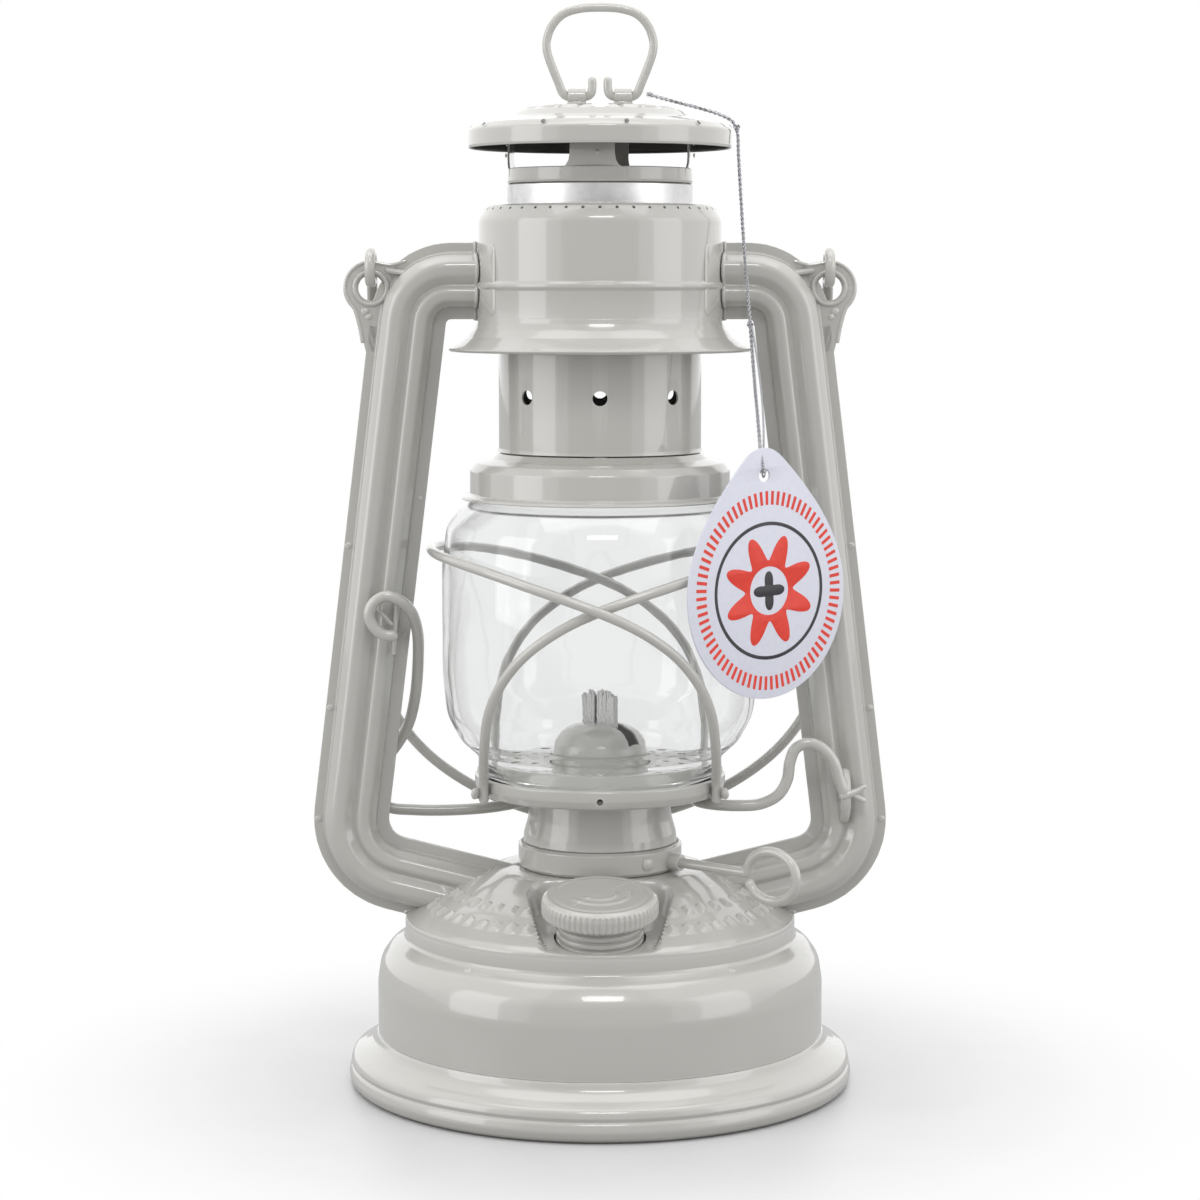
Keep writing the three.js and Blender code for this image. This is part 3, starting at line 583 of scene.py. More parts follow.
def knot(centre, size, seed):
    """A small overhand knot as one tangled loop of thread."""
    t = np.linspace(0, TAU, 90)
    loop = np.c_[np.sin(t) + 2 * np.sin(2 * t), np.cos(t) - 2 * np.cos(2 * t), -np.sin(3 * t) * 1.2] * size / 3
    turned = np.array(Matrix.Rotation(seed, 3, "X") @ Matrix.Rotation(seed * 1.7, 3, "Z"))
    return tube(loop @ turned.T + np.array(centre), 0.27, 8)


strands = [strand(string_line, phase) for phase in (0, math.pi)]
string = string_piece("tag_string_twisted", strands, ["tag_string"])
MID_KNOT = (38.3, -17.2, 200.4)
tied = [
    ((12.9, -1.7, 259.1), 0.7, 0.4), ((35.2, -3.7, 250.6), 0.75, 1.3),
    (MID_KNOT, 0.8, 2.1), ((41.2, -27.5, 163.6), 0.7, 0.9),
]
knots = string_piece("tag_string_knots", [knot(*k) for k in tied])
# Below the middle knot a second strand bows out beside the first.
second_line = string_line[string_line[:, 2] < MID_KNOT[2]]
spread = np.sin(np.linspace(0, math.pi, len(second_line)))[:, None] * np.array([[1.1, -0.5, 0]])
second_tube = tube(second_line + spread + np.array([0.35, -0.2, 0]), 0.26, 8)
second_strand = string_piece("tag_string_second_strand", second_tube)
hole_line = [
    (41.0, -26.9, 164.2), (41.0, -27.1, 163), (41.25, -27.55, 162.0), (41.6, -28.4, 162.5),
    (41.3, -28.6, 165), (40.5, -27.5, 169.5), (40.2, -25.6, 172),
]
hole_loop = string_piece("tag_string_loop", tube(spline(hole_line, 0.4), 0.24, 8))

# ---------- base and tank ----------
base_line = [
    (63.4, 0.5), (64.6, 0.02, 0.5), (66.1, 0.9, 1.6), (66.7, 2.9, 2.2), (66.3, 4.9, 1.2), (65.75, 5.5, 0.35),
    (66.05, 6.4, 0.8), (65.6, 8.2, 2.2), (62.6, 9.7, 4), (59.9, 11.6, 3.5), (59.25, 13.55),
]
painted("base_bead", lathe(skin(base_line, 0.6), 200), "frame", ["base_ring"])
tank_line = [
    (58.85, 13.75), (58.9, 14.6, 0.5), (58.9, 27.5, 12), (58.0, 33.3, 6), (55.3, 37.0, 5),
    (51.9, 38.75, 1.3), (51.55, 39.6, 0.6), (51.6, 42.9),
]
tank_bits = [lathe(skin(tank_line, 0.6), 200)]
for heading in (-129, -51, 40, 140):
    a = math.radians(heading)
    tank_bits.append(bump_at(polar(52.9, a, 38.15), facing(polar(0.5, a, 0.85)), 1.1, 0.35))
painted("tank_shell", tank_bits, "frame", ["tank_wall"])
pan = [(0, 7.6), (55.4, 7.6, 2), (57.7, 9.4, 1), (57.7, 16)]
painted("tank_pan", lathe(skin(pan, 0.7), 128), "frame", ["tank_bottom"])

NECK_TILT, NECK_Y, NECK_Z = math.radians(9.5), -38.6, 43
neck_frame = shift((0, NECK_Y, NECK_Z)) @ Matrix.Rotation(NECK_TILT, 4, "X")
SHOULDER = 51.6
dome_profile = rounded([
    (SHOULDER, 43.3), (51.5, 44.2, 0.7), (50.2, 45.25, 0.9), (42, 50.2, 20),
    (34, 54.4, 14), (27, 57.1, 8), (22.5, 57.4, 2), (16.6, 57.4),
])


def soft_min(a, b, width):
    h = np.clip(0.5 + 0.5 * (a - b) / width, 0, 1)
    return a * (1 - h) + b * h - width * h * (1 - h)


def dome_height(x, y, z):
    """Lowers the dome at the filler neck's seat, and raises two bands of short bars beside it."""
    floor = NECK_Z + (3.3 + math.sin(NECK_TILT) * (y - NECK_Y)) / math.cos(NECK_TILT)
    half, back, corner = 13.4 + 0.16 * (y + 52), -23.2, 5
    out = np.maximum(np.abs(x) - half, y - back)
    round_back = np.hypot(np.maximum(np.abs(x) - half + corner, 0), np.maximum(y - back + corner, 0)) - corner
    out = np.where((np.abs(x) > half - corner) & (y > back - corner), round_back, out)
    wall = floor + np.maximum(out, 0) * 4.5
    r, heading = np.hypot(x, y), np.degrees(np.arctan2(y, x))
    beside = (np.abs(np.abs(x) - 31) < 14.5) * (y < -8)
    for ring, count in ((45.2, 60), (39.4, 52)):
        bars = np.cos(np.radians(heading * count)) * 2.2 - 0.6
        across = 1 - ((r - ring) / 1.5) ** 2
        z = z + 0.8 * np.clip(bars, 0, 1) * np.clip(across * 2, 0, 1) * beside
    return soft_min(z, wall, 0.7)


def dome_mesh():
    fine = evenly(dome_profile, 0.3)
    sides, thickness = 480, 0.6
    turn = turns(sides)
    # Finer towards the front, where the seat is.
    turn = turn + 0.35 * np.sin(turn + math.pi / 2)
    x, y = fine[:, 0] * np.cos(turn)[:, None], fine[:, 0] * np.sin(turn)[:, None]
    top = np.stack([x, y, fine[:, 1] + 0 * turn[:, None]], axis=-1)
    low = top.copy()
    top[..., 2] = dome_height(top[..., 0], top[..., 1], top[..., 2])
    low[..., 2] = np.minimum(low[..., 2], top[..., 2]) - thickness
    ring = np.concatenate([top, low[:, ::-1]], axis=1)
    return ring.reshape(-1, 3), grid_faces(sides, ring.shape[1])


neck_hole = moved(bar((0, 0, 2), (0, 0, 1), 11.7, 16, 48), neck_frame)
painted("tank_dome_pressed", dome_mesh(), "frame", ["tank_dome"], sharp=60, cutters=[neck_hole])
for node, metal in (("tank_lid", tinplate), ("wick_tube", brass), ("wick_wheel", brass)):
    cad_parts[node].data.materials.clear()
    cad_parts[node].data.materials.append(metal)

neck_line = [(9.6, -4), (10.3, -4, 0.2), (10.3, 1.4, 0.5)]
for rib in range(4):
    low = 2.0 * rib
    neck_line += [(10.35, 1.75 + low, 0.35), (11.25, 2.25 + low, 0.5)]
    neck_line += [(11.25, 3.2 + low, 0.5), (10.35, 3.65 + low, 0.35)]
neck_line += [(10.4, 10.4, 0.3), (10.4, 11.5)]
painted("filler_neck_ribbed", moved(lathe(skin(neck_line, 0.8), 96), neck_frame), "frame", ["filler_neck"])
seal_line = rounded([(x, z, 0.2) for x, z in ((7.6, 11.95), (10.9, 11.95), (10.9, 12.75), (7.6, 12.75))], True)
piece("filler_washer", moved(lathe(seal_line, 64), neck_frame), rubber, "seal_body", "seal_rubber", ["filler_seal"])


def cap_mesh():
    """A cap with a knurled edge, and two raised arcs on top for a grip mark."""
    line = rounded([
        (11.8, 9.4), (14.2, 9.3, 0.25), (14.8, 9.9, 0.35), (14.85, 12.6, 0.8), (14.5, 13.9, 0.8),
        (13.3, 14.75, 0.6), (12.2, 14.55, 0.5), (11.4, 14.75, 0.5), (0, 14.95),
    ])
    inside = np.array([(0, 13.3), (11.6, 13.3), (11.75, 9.7)])
    points, faces = lathe(np.vstack([evenly(line, 0.3), inside]), 480)
    turn = np.arctan2(points[:, 1], points[:, 0])
    r = np.hypot(points[:, 0], points[:, 1])
    grip = np.clip((14.2 - points[:, 2]) / 0.8, 0, 1) * (r > 13.6)
    cut_in = grip * 0.28 * (0.5 + 0.5 * np.cos(60 * turn)) ** 2
    points[:, 0] -= cut_in * np.cos(turn)
    points[:, 1] -= cut_in * np.sin(turn)
    for ring in (4.2, 7.4):
        rise = np.clip(1 - ((r - ring) / 0.75) ** 2, 0, 1) * np.clip(2.5 * np.cos(turn + 1.2), 0, 1)
        points[:, 2] += 0.35 * rise * (points[:, 2] > 14.3)
    return points, faces


painted("filler_cap_knurled", moved(cap_mesh(), neck_frame), "cap_body", ["filler_cap"], sharp=50)

# ---------- side tubes ----------
SIDES = (("right", 1), ("left", -1))
FLANGE = 0.85
section = rounded([
    (-9.9, 0.18), (-9.9, FLANGE, 0.2), (-7.3, FLANGE, 0.5), (-6.7, 4.4, 2.2), (-4.4, 7.15, 2.6),
    (-1.4, 7.0, 2.0), (0.95, 4.9, 0.45), (2.5, 6.5, 1.5), (5.0, 5.9, 1.8), (6.6, 3.2, 1.4),
    (6.95, FLANGE, 0.4), (9.9, FLANGE, 0.2), (9.9, 0.18),
])
TOP_CORNER, FOOT_CORNER = complex(48.8, 211.3), complex(67.3, 58.3)
FOOT_WAY = cmath.exp(1j * (math.pi + math.radians(14)))


def tube_line():
    top, foot = TOP_CORNER, FOOT_CORNER
    far = foot + 45 * FOOT_WAY
    corners = [(28, top.imag), (top.real, top.imag, 17.2), (foot.real, foot.imag, 15), (far.real, far.imag)]
    return evenly(rounded(corners), 1.2)


def tube_half():
    """The right tube's front half, from the air chamber's wall down to the dome, and its rows of points."""
    line = tube_line()
    along = unit(np.gradient(line, axis=0))
    inward = np.c_[along[:, 1], -along[:, 0]]
    rows = []
    for (x, z), (nx, nz) in zip(line, inward):
        rows.append(np.c_[x + nx * section[:, 0], -section[:, 1], z + nz * section[:, 0]])
    rows = np.array(rows)
    # A small notch stands in the inner flange beside the burner.
    notch_at, notch_half, notch_depth = 82.4, 2.6, 2.4
    for row in rows:
        if abs(row[:, 2].mean() - notch_at) < notch_half:
            row[-3:, 0] += notch_depth
    # Trim both ends point by point: the arm at the chamber, the foot just under the dome.
    wall = 32.3
    for column in range(rows.shape[1]):
        path = rows[:, column]
        r = np.hypot(path[:, 0], path[:, 1])
        on_wall = np.sqrt(np.maximum(wall**2 - path[:, 1] ** 2, 0))
        path[:, 0] = np.where((path[:, 2] > 195) & (r < wall), on_wall, path[:, 0])
        dome = np.interp(-r, -dome_profile[:, 0], dome_profile[:, 1])
        under = (path[:, 2] < 62) & (path[:, 2] < dome - 0.4) & (r < SHOULDER)
        for past in (under, (path[:, 2] < 44.5) & (r < SHOULDER + 0.3)):
            hits = np.nonzero(past)[0]
            if len(hits):
                path[hits[0] :] = path[hits[0]]
    return (rows.reshape(-1, 3), capped_faces(*rows.shape[:2])), rows


half_tube, tube_rows = tube_half()
EAR = (59.6, 209.5)


def ear_parts():
    """The flat ear with a raised eyelet round its hole and a rolled edge."""
    x, z = EAR
    outline = [(54.5, 193.5), (60.9, 192.6), (62.6, 199.5), *circle(x, z, 7.1, 26, -0.85, 2.5)]
    outline += [(54.6, 215.6), (50.5, 216.6), (50, 206)]
    flat = plate([outline, circle(x, z, 3.3)[::-1]], 0.7, 0.15)
    rim = [(x + 4.2 * math.cos(a), -0.95, z + 4.2 * math.sin(a)) for a in np.linspace(0, TAU, 49)]
    edge = [(61.9, 195.5), (62.6, 199.5), *circle(x, z, 6.75, 26, -0.85, 2.5), (54.4, 215.5), (50.6, 216.4)]
    return [
        moved(flat, shift((0, -0.5, 0)) @ UPRIGHT),
        tube(rim, 0.62, 10, round_ends=False),
        tube(spline([(a, -0.75, b) for a, b in edge], 0.8), 0.45, 8),
        tube(spline([(55.3, -0.8, 214.0), (52.5, -1.6, 213.6), (49.5, -3.0, 213.2)], 0.8), 0.7, 8),
        bump_at((61.2, -0.9, 203.4), UPRIGHT, 1.0, 0.4),
        bump_at((60.2, -0.9, 202.0), UPRIGHT, 0.8, 0.35),
    ]


def on_flange(share, across):
    """A point on the right tube's front flange, a share of the way down its line."""
    line = tube_line()
    at = int(share * (len(line) - 1))
    along = line[min(at + 1, len(line) - 1)] - line[at - 1]
    along /= np.linalg.norm(along)
    x, z = line[at] + np.array([along[1], -along[0]]) * across
    return np.array([x, -FLANGE, z])


# Soldered seams where the tube's foot meets the dome and its arm meets the chamber.
foot_seam = tube(spline((tube_rows[-1] + [0, 0, 0.35])[3:-3:2], 0.8), 0.55, 8)
arm_seam = tube(spline((tube_rows[0] + [0.15, 0, 0])[1:-1:2], 0.8), 0.5, 8)
welds = [bump_at(on_flange(s, -8.7), UPRIGHT, 0.9, 0.3) for s in (0.42, 0.62, 0.76)]
welds += [bump_at(on_flange(s, 8.5), UPRIGHT, 0.7, 0.25) for s in (0.35, 0.52)]
common = [half_tube, *ear_parts(), foot_seam, arm_seam, *welds]
bridge_line = [(64.3, -6.4, 70.8), (64.3, -8.9, 73), (64.3, -10.4, 76.6), (64.3, -9.2, 80.4), (64.3, -6.4, 83)]
extras = {
    ("right", "front"): [tube(spline(bridge_line, 0.6), 1.35, 12, 0.7, (0, 1, 0))],
    ("left", "front"): [
        tube([(-58.4, -7.2, 127.4), (-57, -8.4, 125.4), (-54.3, -8.2, 122.3)], 0.6, 10),
        tube([(-52.6, -6.9, 129.2), (-53.3, -7.9, 124), (-53.8, -6.9, 114.6)], 0.6, 10),
    ],
}
for side, sx in SIDES:
    for face, sy in (("front", 1), ("back", -1)):
        parts = [mirrored(m, sx, sy, 1) for m in common] + extras.get((side, face), [])
        painted(f"{side}_{face}_tube", parts, "frame", [f"{side}_tube_{face}"])

# ---------- air chamber ----------
R = 31.85
chamber_line = [
    (R, 201.7), (R, 208.9, 0.5), (R + 0.5, 209.7, 0.5), (R + 0.5, 210.5, 0.5), (R - 0.1, 211.3, 0.5),
    (R, 227.0, 3.2), (29.4, 230.7, 1.6), (26.6, 231.2, 0.5), (24.7, 231.0),
]
slot = bar((30.2, 0, 229.9), (0.75, 0, 0.66), 0.42, 3, 12)
slots = [moved(slot, Matrix.Rotation(a, 4, "Z")) for a in turns(44)]
painted("air_chamber_shell", lathe(skin(chamber_line, 0.55), 192), "frame", ["air_chamber"], cutters=slots)
skirt_line = [
    (39.0, 193.1), (39.75, 193.75, 0.35), (37.6, 195.1, 2.5), (34.8, 197.0, 1.2), (34.35, 197.5, 0.3),
    (33.0, 199.0, 3), (32.2, 200.6, 1.5), (R + 0.05, 201.9, 0.5), (R - 0.4, 202.2),
]
painted("chamber_skirt_flare", lathe(skin(skirt_line, 0.5), 192), "frame", ["chamber_skirt"])


def saddle(sign):
    """The flange that joins a side tube's arm to the chamber's wall, from an outline in (degrees, mm)."""
    outline = rounded([(-33, -8.8, 2.5), (33, -8.8, 2.5), (33, 9.4, 2.5), (-33, 9.4, 2.5)], True)
    centre = outline.mean(0)
    rows = []
    for scale, lift in ((1.0, 0.05), (0.985, 0.4), (0.96, 0.5), (0.6, 0.5), (0.02, 0.5)):
        ring = centre + (outline - centre) * scale
        a, r = np.radians(ring[:, 0]), R + 0.6 * lift
        rows.append(np.c_[r * np.cos(a) * sign, r * np.sin(a), TOP_CORNER.imag + ring[:, 1]])
    return np.concatenate(rows), capped_faces(len(rows), len(outline))


for side, sx in SIDES:
    painted(f"{side}_arm_saddle", saddle(sx), "frame", sharp=70)

# ---------- burner ----------
KNOB_HEIGHT = 60.2
SCREW_HEADING, SHAFT_HEADING = math.radians(-55), math.radians(-39.5)
shaft_dir = Vector(polar(1, SHAFT_HEADING))
shaft_side = Vector((-shaft_dir.y, shaft_dir.x, 0))


def along_shaft(distance, height=KNOB_HEIGHT):
    p = shaft_dir * distance + shaft_side * 3.6
    return (p.x, p.y, height)


band = [
    (15.8, 44.4), (15.8, 57.5, 0.3), (20.9, 57.5, 0.3), (21.6, 58.3, 0.5),
    (21.6, 63.3, 0.5), (20.9, 64, 0.3), (17.2, 64),
]
burner_parts = [
    lathe(skin(band, 0.6), 144),
    bump_at(polar(21.7, SCREW_HEADING, 60.6), facing(polar(1, SCREW_HEADING)), 1.7, 0.7),
    tube([along_shaft(19.6), along_shaft(24.5)], [2.5, 2.1], 24, round_ends=False),
]
shaft_hole = bar(along_shaft(22), shaft_dir, 1.55, 12)
painted("burner_band", burner_parts, "frame", ["burner_base"], cutters=[shaft_hole])
collar_line = [(20.3, 64.3), (20.1, 66.5, 3), (19.0, 70.4, 4), (18.6, 75.8, 0.8), (17.6, 77.2, 0.6), (14, 77.3)]
painted("burner_collar_spun", lathe(skin(collar_line, 0.55), 144), "frame", ["burner_collar"])
flame_line = [
    (16.4, 78.2), (13.9, 78.7, 0.8), (13.2, 80.5, 1.5), (12.9, 86.2, 4),
    (12.0, 90.2, 4), (9.6, 93.4, 5), (5.8, 95.1, 5), (0, 95.6),
]
slot_turn = Matrix.Rotation(SHAFT_HEADING, 4, "Z")
slot_cut = moved(prism([(-11.7, -2.1), (11.7, -2.1), (11.7, 2.1), (-11.7, 2.1)], 88.08, 101.52), slot_turn)
painted("flame_dome_slotted", lathe(skin(flame_line, 0.5), 120), "frame", ["flame_dome"], cutters=[slot_cut])


def wick_mesh():
    """A flat woven wick: two ribbed bundles that part near the top, with frayed ends."""
    parts = []
    for low, high in ((-5.4, -1.35), (-0.4, 5.4)):
        count = int((high - low) / 0.62)
        for k in range(count):
            x = low + (k + 0.5) * (high - low) / count
            for y in (-0.62, 0.0, 0.62):
                top = 103.6 + random.uniform(-0.9, 0.5) - 0.06 * (x - 1) ** 2 * 0.4
                heights = np.r_[np.arange(20.5, top, 1.1), top]
                wobble = 0.1 * np.sin(heights * 2.6 + k * 2.1 + y * 5)
                drift = np.clip(heights - 97, 0, 9) * random.uniform(-0.035, 0.035)
                across = y + 0.08 * np.cos(heights * 2.6 + k) + drift * 0.6
                parts.append(tube(np.c_[x + wobble + drift, across, heights], 0.36, 8))
    return [moved(p, slot_turn) for p in parts]


def wick_gap_shade_mesh():
    """A dark strip of painted shade that shows in the gap between the two bundles."""
    half_gap, half_depth, low, high = 0.55, 0.35, 62.0, 102.6
    corners = [(-half_gap, low, 0.1), (half_gap, low, 0.1), (half_gap, high, 0.4), (-half_gap, high, 0.4)]
    flat = plate([rounded(corners, True)], 2 * half_depth, 0.1)
    return moved(moved(flat, shift((-0.88, 0, 0)) @ UPRIGHT), slot_turn)


piece("wick_yarns", wick_mesh(), cotton, "wick_strip", "cotton_wick", ["wick"])
loop_turns = np.linspace(math.pi, -math.pi + 0.42, 60)
shaft_wire = [
    *spline([along_shaft(-7), along_shaft(10), along_shaft(30), along_shaft(45.2)], 1.0),
    *(along_shaft(53.8 + 7.7 * math.cos(a), KNOB_HEIGHT + 6.4 * math.sin(a)) for a in loop_turns),
]
painted("wick_knob_wire", tube(evenly(shaft_wire, 0.6), 1.3, 18), "wick_raiser", ["wick_knob"])
# A dark strip in the wick's gap: painted shade.
piece("wick_gap_shade", wick_gap_shade_mesh(), painted_shade, "wick_strip", "cotton_wick")

# ---------- globe carriage ----------
plate_line = [
    (30.4, 77.05), (31.9, 77.5, 1.2), (33, 79.4, 1.6), (33, 81.9, 0.5), (32.4, 82.6, 0.4), (31.9, 81.3, 0.4),
    (28.2, 81.1, 0.6), (26.6, 85.2, 0.8), (15.2, 85.9, 0.4), (14.3, 85.1, 0.4), (13.7, 85.6),
]
holes = [bar(polar(22.4, a, 85.4), (0, 0, 1), 1.35, 6, 20) for a in turns(20, 0.1)]
holes += [bar(polar(17.6, a, 85.8), (0, 0, 1), 0.9, 6, 16) for a in turns(16, 0.25)]
holes.append(bar((0, -32, 79.6), (0, -1, 0), 0.85, 8, 16))
painted("globe_plate_pressed", lathe(skin(plate_line, 0.5), 160), "globe_carriage", ["globe_plate"], cutters=holes)
clips = []
for sx in (1, -1):
    for sy in (1, -1):
        foot = [(29.6 * sx, -15.2 * sy, 79.2), (31.8 * sx, -17.6 * sy, 79.4), (32.4 * sx, -19.6 * sy, 79.6)]
        clips.append(tube(spline(foot, 0.4), 1.5, 12, 0.45, (0.78 * sx, 0.62 * sy, 0)))
painted("guard_foot_clips", clips, "globe_carriage")

globe_line = [
    (31.4, 81.4), (31.9, 82.6, 0.6), (32.0, 87.0, 3), (36.6, 91.2, 7), (40.4, 98, 14), (41.4, 110, 30),
    (41.4, 138, 10), (40.2, 147.5, 7), (36.0, 152.8, 4), (33.2, 154.6, 1.5), (32.5, 156.8),
]
globe_outline = skin(globe_line, 1.5)
# The glass is thicker at its foot and at its mouth.
inside = globe_outline[len(globe_outline) // 2 :]
foot_glass = 1.3 * np.exp(-(((inside[:, 1] - 83.2) / 1.3) ** 2))
inside[:, 0] -= foot_glass + 0.6 * np.exp(-(((inside[:, 1] - 155.8) / 1.0) ** 2))
piece("globe_glass", lathe(globe_outline, 192), glass, "globe_carriage", "clear_glass", ["globe"], sharp=80)

# Across, up, and out from the axis, from the front foot to the side.
GUARD = [
    (30.1, 77.6, 34.7), (30.1, 82, 34.7), (29.9, 88, 37.4), (29.4, 94, 40.6), (28.2, 102, 43.3),
    (25.2, 109.6, 44.2), (20, 116.7, 44.5), (13.8, 122, 45.2), (7.3, 126, 45.9), (0, 129.3, 46.1),
    (-8, 132.2, 45.8), (-18, 135.3, 45), (-27.5, 138, 44.4), (-36, 140, 44.2), (-41.6, 141, 44.2),
]


def guard_point(x, z, radius, back):
    """At the back the wire runs closer in, so that the two arches pass each other."""
    reach = radius - (3 * max(0, (radius - 44.4) / 1.7) if back else 0)
    y = math.sqrt(reach * reach - x * x)
    return (x, y if back else -y, z)


front, rear = ([guard_point(*p, back) for p in GUARD] for back in (False, True))
guard = [*front, (-44.2, 0, 141.4), *rear[::-1]]
guard_wire = tube(spline(guard, 1.0), 1.3, 16)
painted("right_guard_arch", guard_wire, "globe_carriage", ["right_guard_wire"])
painted("left_guard_arch", mirrored(guard_wire, -1, -1, 1), "globe_carriage", ["left_guard_wire"])

# ---------- chimney ----------
cap_line = [
    (36.2, 155.0), (35.9, 155.5, 0.4), (34.0, 156.0, 0.6), (33.95, 162.3, 1.2),
    (32.6, 164.3, 1.0), (28.2, 165.3, 0.7), (26.9, 166.7, 0.5), (25.6, 166.8),
]
painted("globe_cap_spun", lathe(skin(cap_line, 0.5), 176), "chimney", ["globe_cap"])
chimney_line = [(26.55, 167.1), (26.4, 168.0, 0.6), (26.4, 199.7, 0.4), (26.2, 200.3)]
ways = [(math.sin(a), -math.cos(a)) for a in turns(8)]
air_holes = [bar((26 * x, 26 * y, 181.7), (x, y, 0), 1.9, 8, 28) for x, y in ways]
chimney_wall = lathe(skin(chimney_line, 0.55), 160)
# The chimney's inside is painted shade.
painted("chimney_tube_pierced", chimney_wall, "chimney", ["chimney_tube"], cutters=air_holes, lining=painted_shade)
inner_line = [(25.2, 190.1), (25.1, 190.7, 0.3), (24, 191.6, 0.5), (24, 235.9)]
inner_wall = lathe(skin(inner_line, 0.5), 144)
# The inner tube's inside is painted shade.
piece("inner_tube_zinc", inner_wall, zinc, "chimney", "zinc_steel", ["inner_tube"], lining=painted_shade)


def spider_parts():
    """A collar and four legs, each a flat strip wrapped round the collar, with two spot welds."""
    parts = [lathe(skin([(24.0, 236.4), (24.15, 236.9, 0.3), (24.05, 240.0)], 0.5), 144)]
    half = [(5.8, 253.0), (5.8, 243.4), (6.1, 241.6), (6.9, 240.4), (8.4, 239.6), (8.4, 237.5)]
    outline = rounded([(-x, z) for x, z in half][::-1] + half).tolist()
    for leg in range(4):
        turn = Matrix.Rotation(leg * math.pi / 2 - math.radians(4.8), 4, "Z")
        points, faces = plate([outline], 0.55, 0.12)
        a = points[:, 0] / 24.1
        reach = 24.15 + points[:, 2] - 0.25 + np.clip(points[:, 1] - 248, 0, 6) * -0.1
        parts.append(moved((np.c_[reach * np.sin(a), -reach * np.cos(a), points[:, 1]], faces), turn))
        for x, z, size in ((-0.6, 246.8, 0.75), (1.4, 243.6, 0.6)):
            parts.append(moved(bump_at((x, -24.3, z), UPRIGHT, size, 0.3), turn))
    return parts


painted("hood_spider_legs", spider_parts(), "chimney", ["hood_spider"])


def hood_mesh():
    """The canopy, with a ring of pressed petals on top."""
    outline = skin([
        (34.15, 245.5), (34.3, 246.0, 0.2), (34.3, 250.0, 1.1), (32.4, 251.5, 1.2),
        (24.4, 253.2, 2.0), (21.8, 254.9, 1.2), (12, 255.9, 12), (0, 256.3),
    ], 0.5)
    dense = [evenly([a, b], 0.7)[:-1] for a, b in zip(outline, np.roll(outline, -1, axis=0))]
    points, faces = lathe(np.vstack(dense), 240)
    r = np.hypot(points[:, 0], points[:, 1])
    turn = np.arctan2(points[:, 1], points[:, 0])
    on_ring = np.clip(1.6 * (1 - ((r - 16.4) / 4.6) ** 2), 0, 1)
    points[:, 2] += 0.55 * (np.clip(np.cos(18 * turn) * 1.8 - 0.2, 0, 1) * on_ring) * (points[:, 2] > 250)
    return points, faces


# The hood's underside and inside are painted shade.
painted("hood_pressed", hood_mesh(), "chimney", ["hood"], sharp=50, lining=painted_shade)
headings = [math.radians(-90 + 11.3 + 36 * k) for k in range(10)]
dimples = [bump_at(polar(33.82, a, 250.98), facing(polar(0.75, a, 0.66)), 0.62, 0.1) for a in headings]
# The dimples are near-black: painted shade.
piece("hood_dimples", dimples, painted_shade, "chimney", "grey_paint")
RING_AXIS = 258.7
sleeve_line = rounded([(1.4, 3.7, 0.2), (2.05, 3.7, 0.3), (2.05, 8.3, 0.3), (1.4, 8.3, 0.2)], True)
on_axis = shift((0, 0, RING_AXIS)) @ Matrix.Rotation(math.pi / 2, 4, "Y")
sleeve = moved(lathe(sleeve_line, 40), on_axis)
sleeve_foot = tube([(4.6, -0.2, 257.0), (7.4, -0.2, 256.9)], 1.5, 16, 0.8, (0, 0, 1))
for side, sx in SIDES:
    parts = [mirrored(sleeve, sx, 1, 1), mirrored(sleeve_foot, sx, 1, 1)]
    painted(f"{side}_ring_sleeve", parts, "chimney", [f"{side}_ring_eyelet"])

RING_HALF = [
    (2, 0, 262.9), (2, 0, 261.2), (2.4, 0, 259.4), (3.7, 0, RING_AXIS), (8.3, 0, RING_AXIS), (9.6, 0, 259.6),
    (10.6, 0, 262), (12.4, 0, 266.4), (13.6, 0, 270), (13.8, 0, 272.6), (12.5, 0, 276.6), (9.6, 0, 279.7),
    (5.4, 0, 281.1), (0, 0, 281.45),
]
ring_points = RING_HALF + [(-x, y, z) for x, y, z in RING_HALF[-2::-1]]
painted("lifting_ring_wire", tube(spline(ring_points, 0.7), 1.15, 18), "ring_body", ["lifting_ring"])

# ---------- bail and lever ----------
BAIL_EYE, BAIL_PIVOT, BAIL_TILT = 3.9, 214.7, math.radians(7.45)
# Across from the middle, and down from the pivot along the tilted bow.
BOW = [
    (EAR[0], 0), (EAR[0], 30), (EAR[0], 60), (EAR[0], 85), (EAR[0], 100), (59.3, 107), (58.3, 113.5), (56.1, 119.8),
    (52.4, 126), (47.5, 131.8), (41.2, 137.2), (33, 142.4), (22.5, 147.2), (11.5, 150.2),
]


def bow_point(across, down):
    y = BAIL_EYE * math.cos(BAIL_TILT) + down * math.sin(BAIL_TILT)
    z = BAIL_PIVOT + BAIL_EYE * math.sin(BAIL_TILT) - down * math.cos(BAIL_TILT)
    return (across, y, z)


def bail_line():
    """A hooked eye at each ear and the bow between them."""
    right = []
    for step in range(30):
        a = BAIL_TILT + math.radians(288 * (1 - step / 30))
        right.append((EAR[0], BAIL_EYE * math.cos(a), BAIL_PIVOT + BAIL_EYE * math.sin(a)))
    right += [bow_point(*p) for p in BOW]
    return right + [bow_point(0, 151.2)] + [(-x, y, z) for x, y, z in right[::-1]]


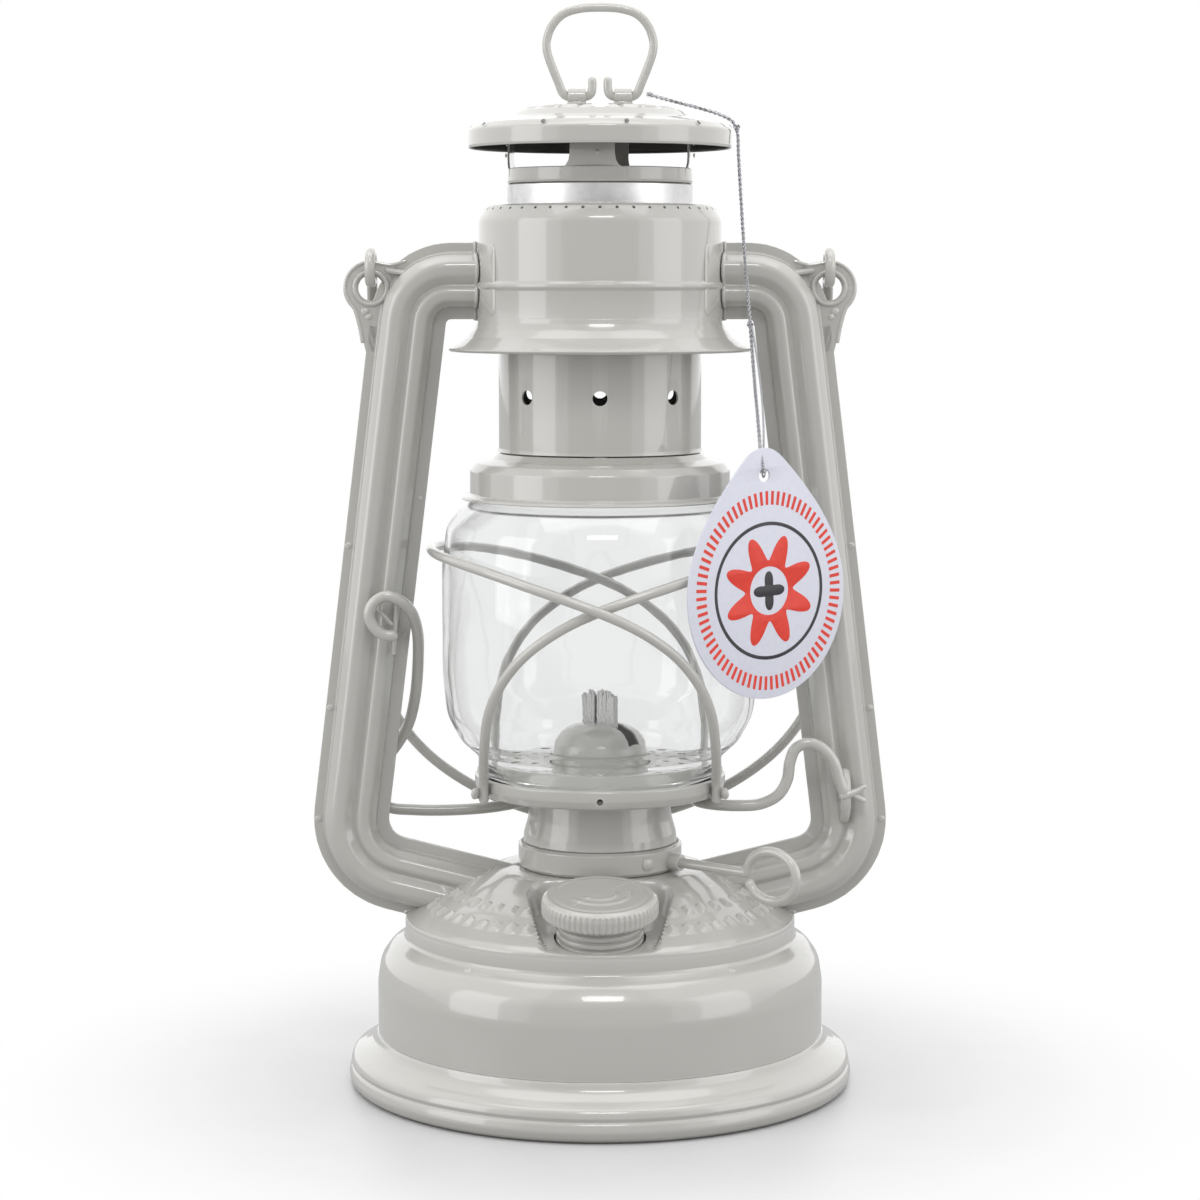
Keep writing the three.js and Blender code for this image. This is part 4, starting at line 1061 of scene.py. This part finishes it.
painted("bail_wire", tube(spline(bail_line(), 1.0), 1.4, 16), "bail_body", ["bail"])
LEVER = [
    (63.9, -4.8, 77.1), (63.9, -8.6, 77.1), (63.7, -10.3, 78.3), (62.4, -10.6, 82), (60.9, -10.9, 86.6),
    (58, -11, 90.1), (54.5, -11, 91.5), (51, -11, 90.1), (49.5, -11, 86.4), (48.9, -11, 82), (46.5, -11, 77.8),
    (41.8, -10.8, 75.4), (36, -10.3, 74.9), (30, -8, 74.8), (26, -3, 74.7), (24.6, 4, 74.5), (21.4, 12, 74.2),
    (15, 19.2, 73.9), (6, 23.6, 73.6), (-3, 24, 73.2), (-12, 21.1, 72.6), (-20, 16.2, 71.6), (-28, 13, 70.6),
    (-38, 11.4, 70), (-50, 10.8, 70.1), (-57, 10.6, 71), (-60.5, 10.6, 74.4), (-60.5, 10.6, 79),
    (-57.6, 10.4, 83.6), (-54, 9.6, 88.4), (-51, 8, 94), (-49.1, 5.4, 101.5), (-48, 1.4, 112),
    (-47.9, -4, 120.4), (-49.4, -8.4, 126), (-52.2, -10.6, 129), (-55.6, -11, 130), (-58.6, -11, 128.3),
    (-59.9, -11, 125.2), (-58.7, -11, 122), (-56.2, -11, 120), (-53.6, -10.8, 119.6),
]
spur_line = spline([(63.4, -10.6, 77.6), (66, -10.6, 78.2), (69.2, -10.4, 79.9)], 0.5)
lever_parts = [
    tube(spline(LEVER, 0.9), 1.5, 18),
    tube(spur_line, np.linspace(1.3, 0.6, len(spur_line)), 12),
    tube(spline([(66, -10.6, 78.0), (67.6, -10.6, 77.0), (69.0, -10.4, 76.2)], 0.5), 0.7, 10),
]
painted("lift_lever_wire", lever_parts, "lever_body", ["lift_lever"])

# ---------- stage ----------
SEEN = ("Is Camera Ray", "Is Transmission Ray")


def stage_floor():
    """A pale floor that fades to white away from the lantern, and lights it less than it shows."""
    n = Nodes("studio_floor")
    reach = n.add("ShaderNodeVectorMath", {0: n.place}, operation="LENGTH").outputs["Value"]
    away = n.span(reach, 0.0, 1.0, 0.078, 0.17, "SMOOTHSTEP")
    seen = n.rays(*SEEN)
    glow = n.add("ShaderNodeEmission", {"Color": (1, 1, 1, 1), "Strength": n.span(seen, 0.55, 1.0)})
    grain = n.ramp(n.noise(40, 3), [(0.3, (0.62, 0.62, 0.625)), (0.7, (0.64, 0.64, 0.645))])
    grain = n.mix(seen, n.mix(0.45, grain, (0.0, 0.0, 0.0)), grain)
    n.set(Base_Color=grain, Roughness=0.35)
    n.cover(away, n.shader, glow)
    mesh = bpy.data.meshes.new("studio_floor")
    mesh.from_pydata([polar(8, a, 0) for a in turns(96)], [], [list(range(96))])
    mesh.materials.append(n.owner)
    floor = bpy.data.objects.new("studio_floor", mesh)
    scene.collection.objects.link(floor)


def stage_world():
    """Two white walls stand left and right of a darker gap behind the camera."""
    gap, wall, gap_end, wall_start = 0.56, 1.16, math.radians(35), math.radians(37.5)
    n = Nodes("studio", world=True)
    scene.world = n.owner
    way = n.add("ShaderNodeSeparateXYZ", {0: n.place}).outputs
    heading = n.maths("ARCTAN2", way["X"], n.maths("MULTIPLY", way["Y"], -1.0))
    front = n.span(n.maths("ABSOLUTE", heading), gap, wall, gap_end, wall_start, "SMOOTHSTEP")
    strength = n.add("ShaderNodeMix", {0: n.rays(*SEEN), 2: front, 3: 1.0}).outputs[0]
    n.set(Color=(1, 1, 1, 1), Strength=strength)


def softbox(name, place, target, size, power):
    data = bpy.data.lights.new(name, "AREA")
    data.shape = "RECTANGLE"
    data.size, data.size_y = size
    data.energy = power
    light = bpy.data.objects.new(name, data)
    scene.collection.objects.link(light)
    light.location = place
    light.rotation_euler = (Vector(target) - Vector(place)).to_track_quat("-Z", "Y").to_euler()
    light.visible_camera = False


stage_floor()
stage_world()
softbox("key_above", (0.03, -0.9, 1.1), (0, 0, 0.12), (0.42, 0.3), 2.6)
softbox("left_wall", (-1.0, -0.45, 0.35), (0, 0, 0.16), (0.6, 0.9), 2.6)
softbox("right_wall", (1.0, -0.45, 0.35), (0, 0, 0.16), (0.6, 0.9), 1.9)
softbox("overhead", (0, -0.05, 1.3), (0, 0, 0.1), (1.3, 0.7), 3.4)
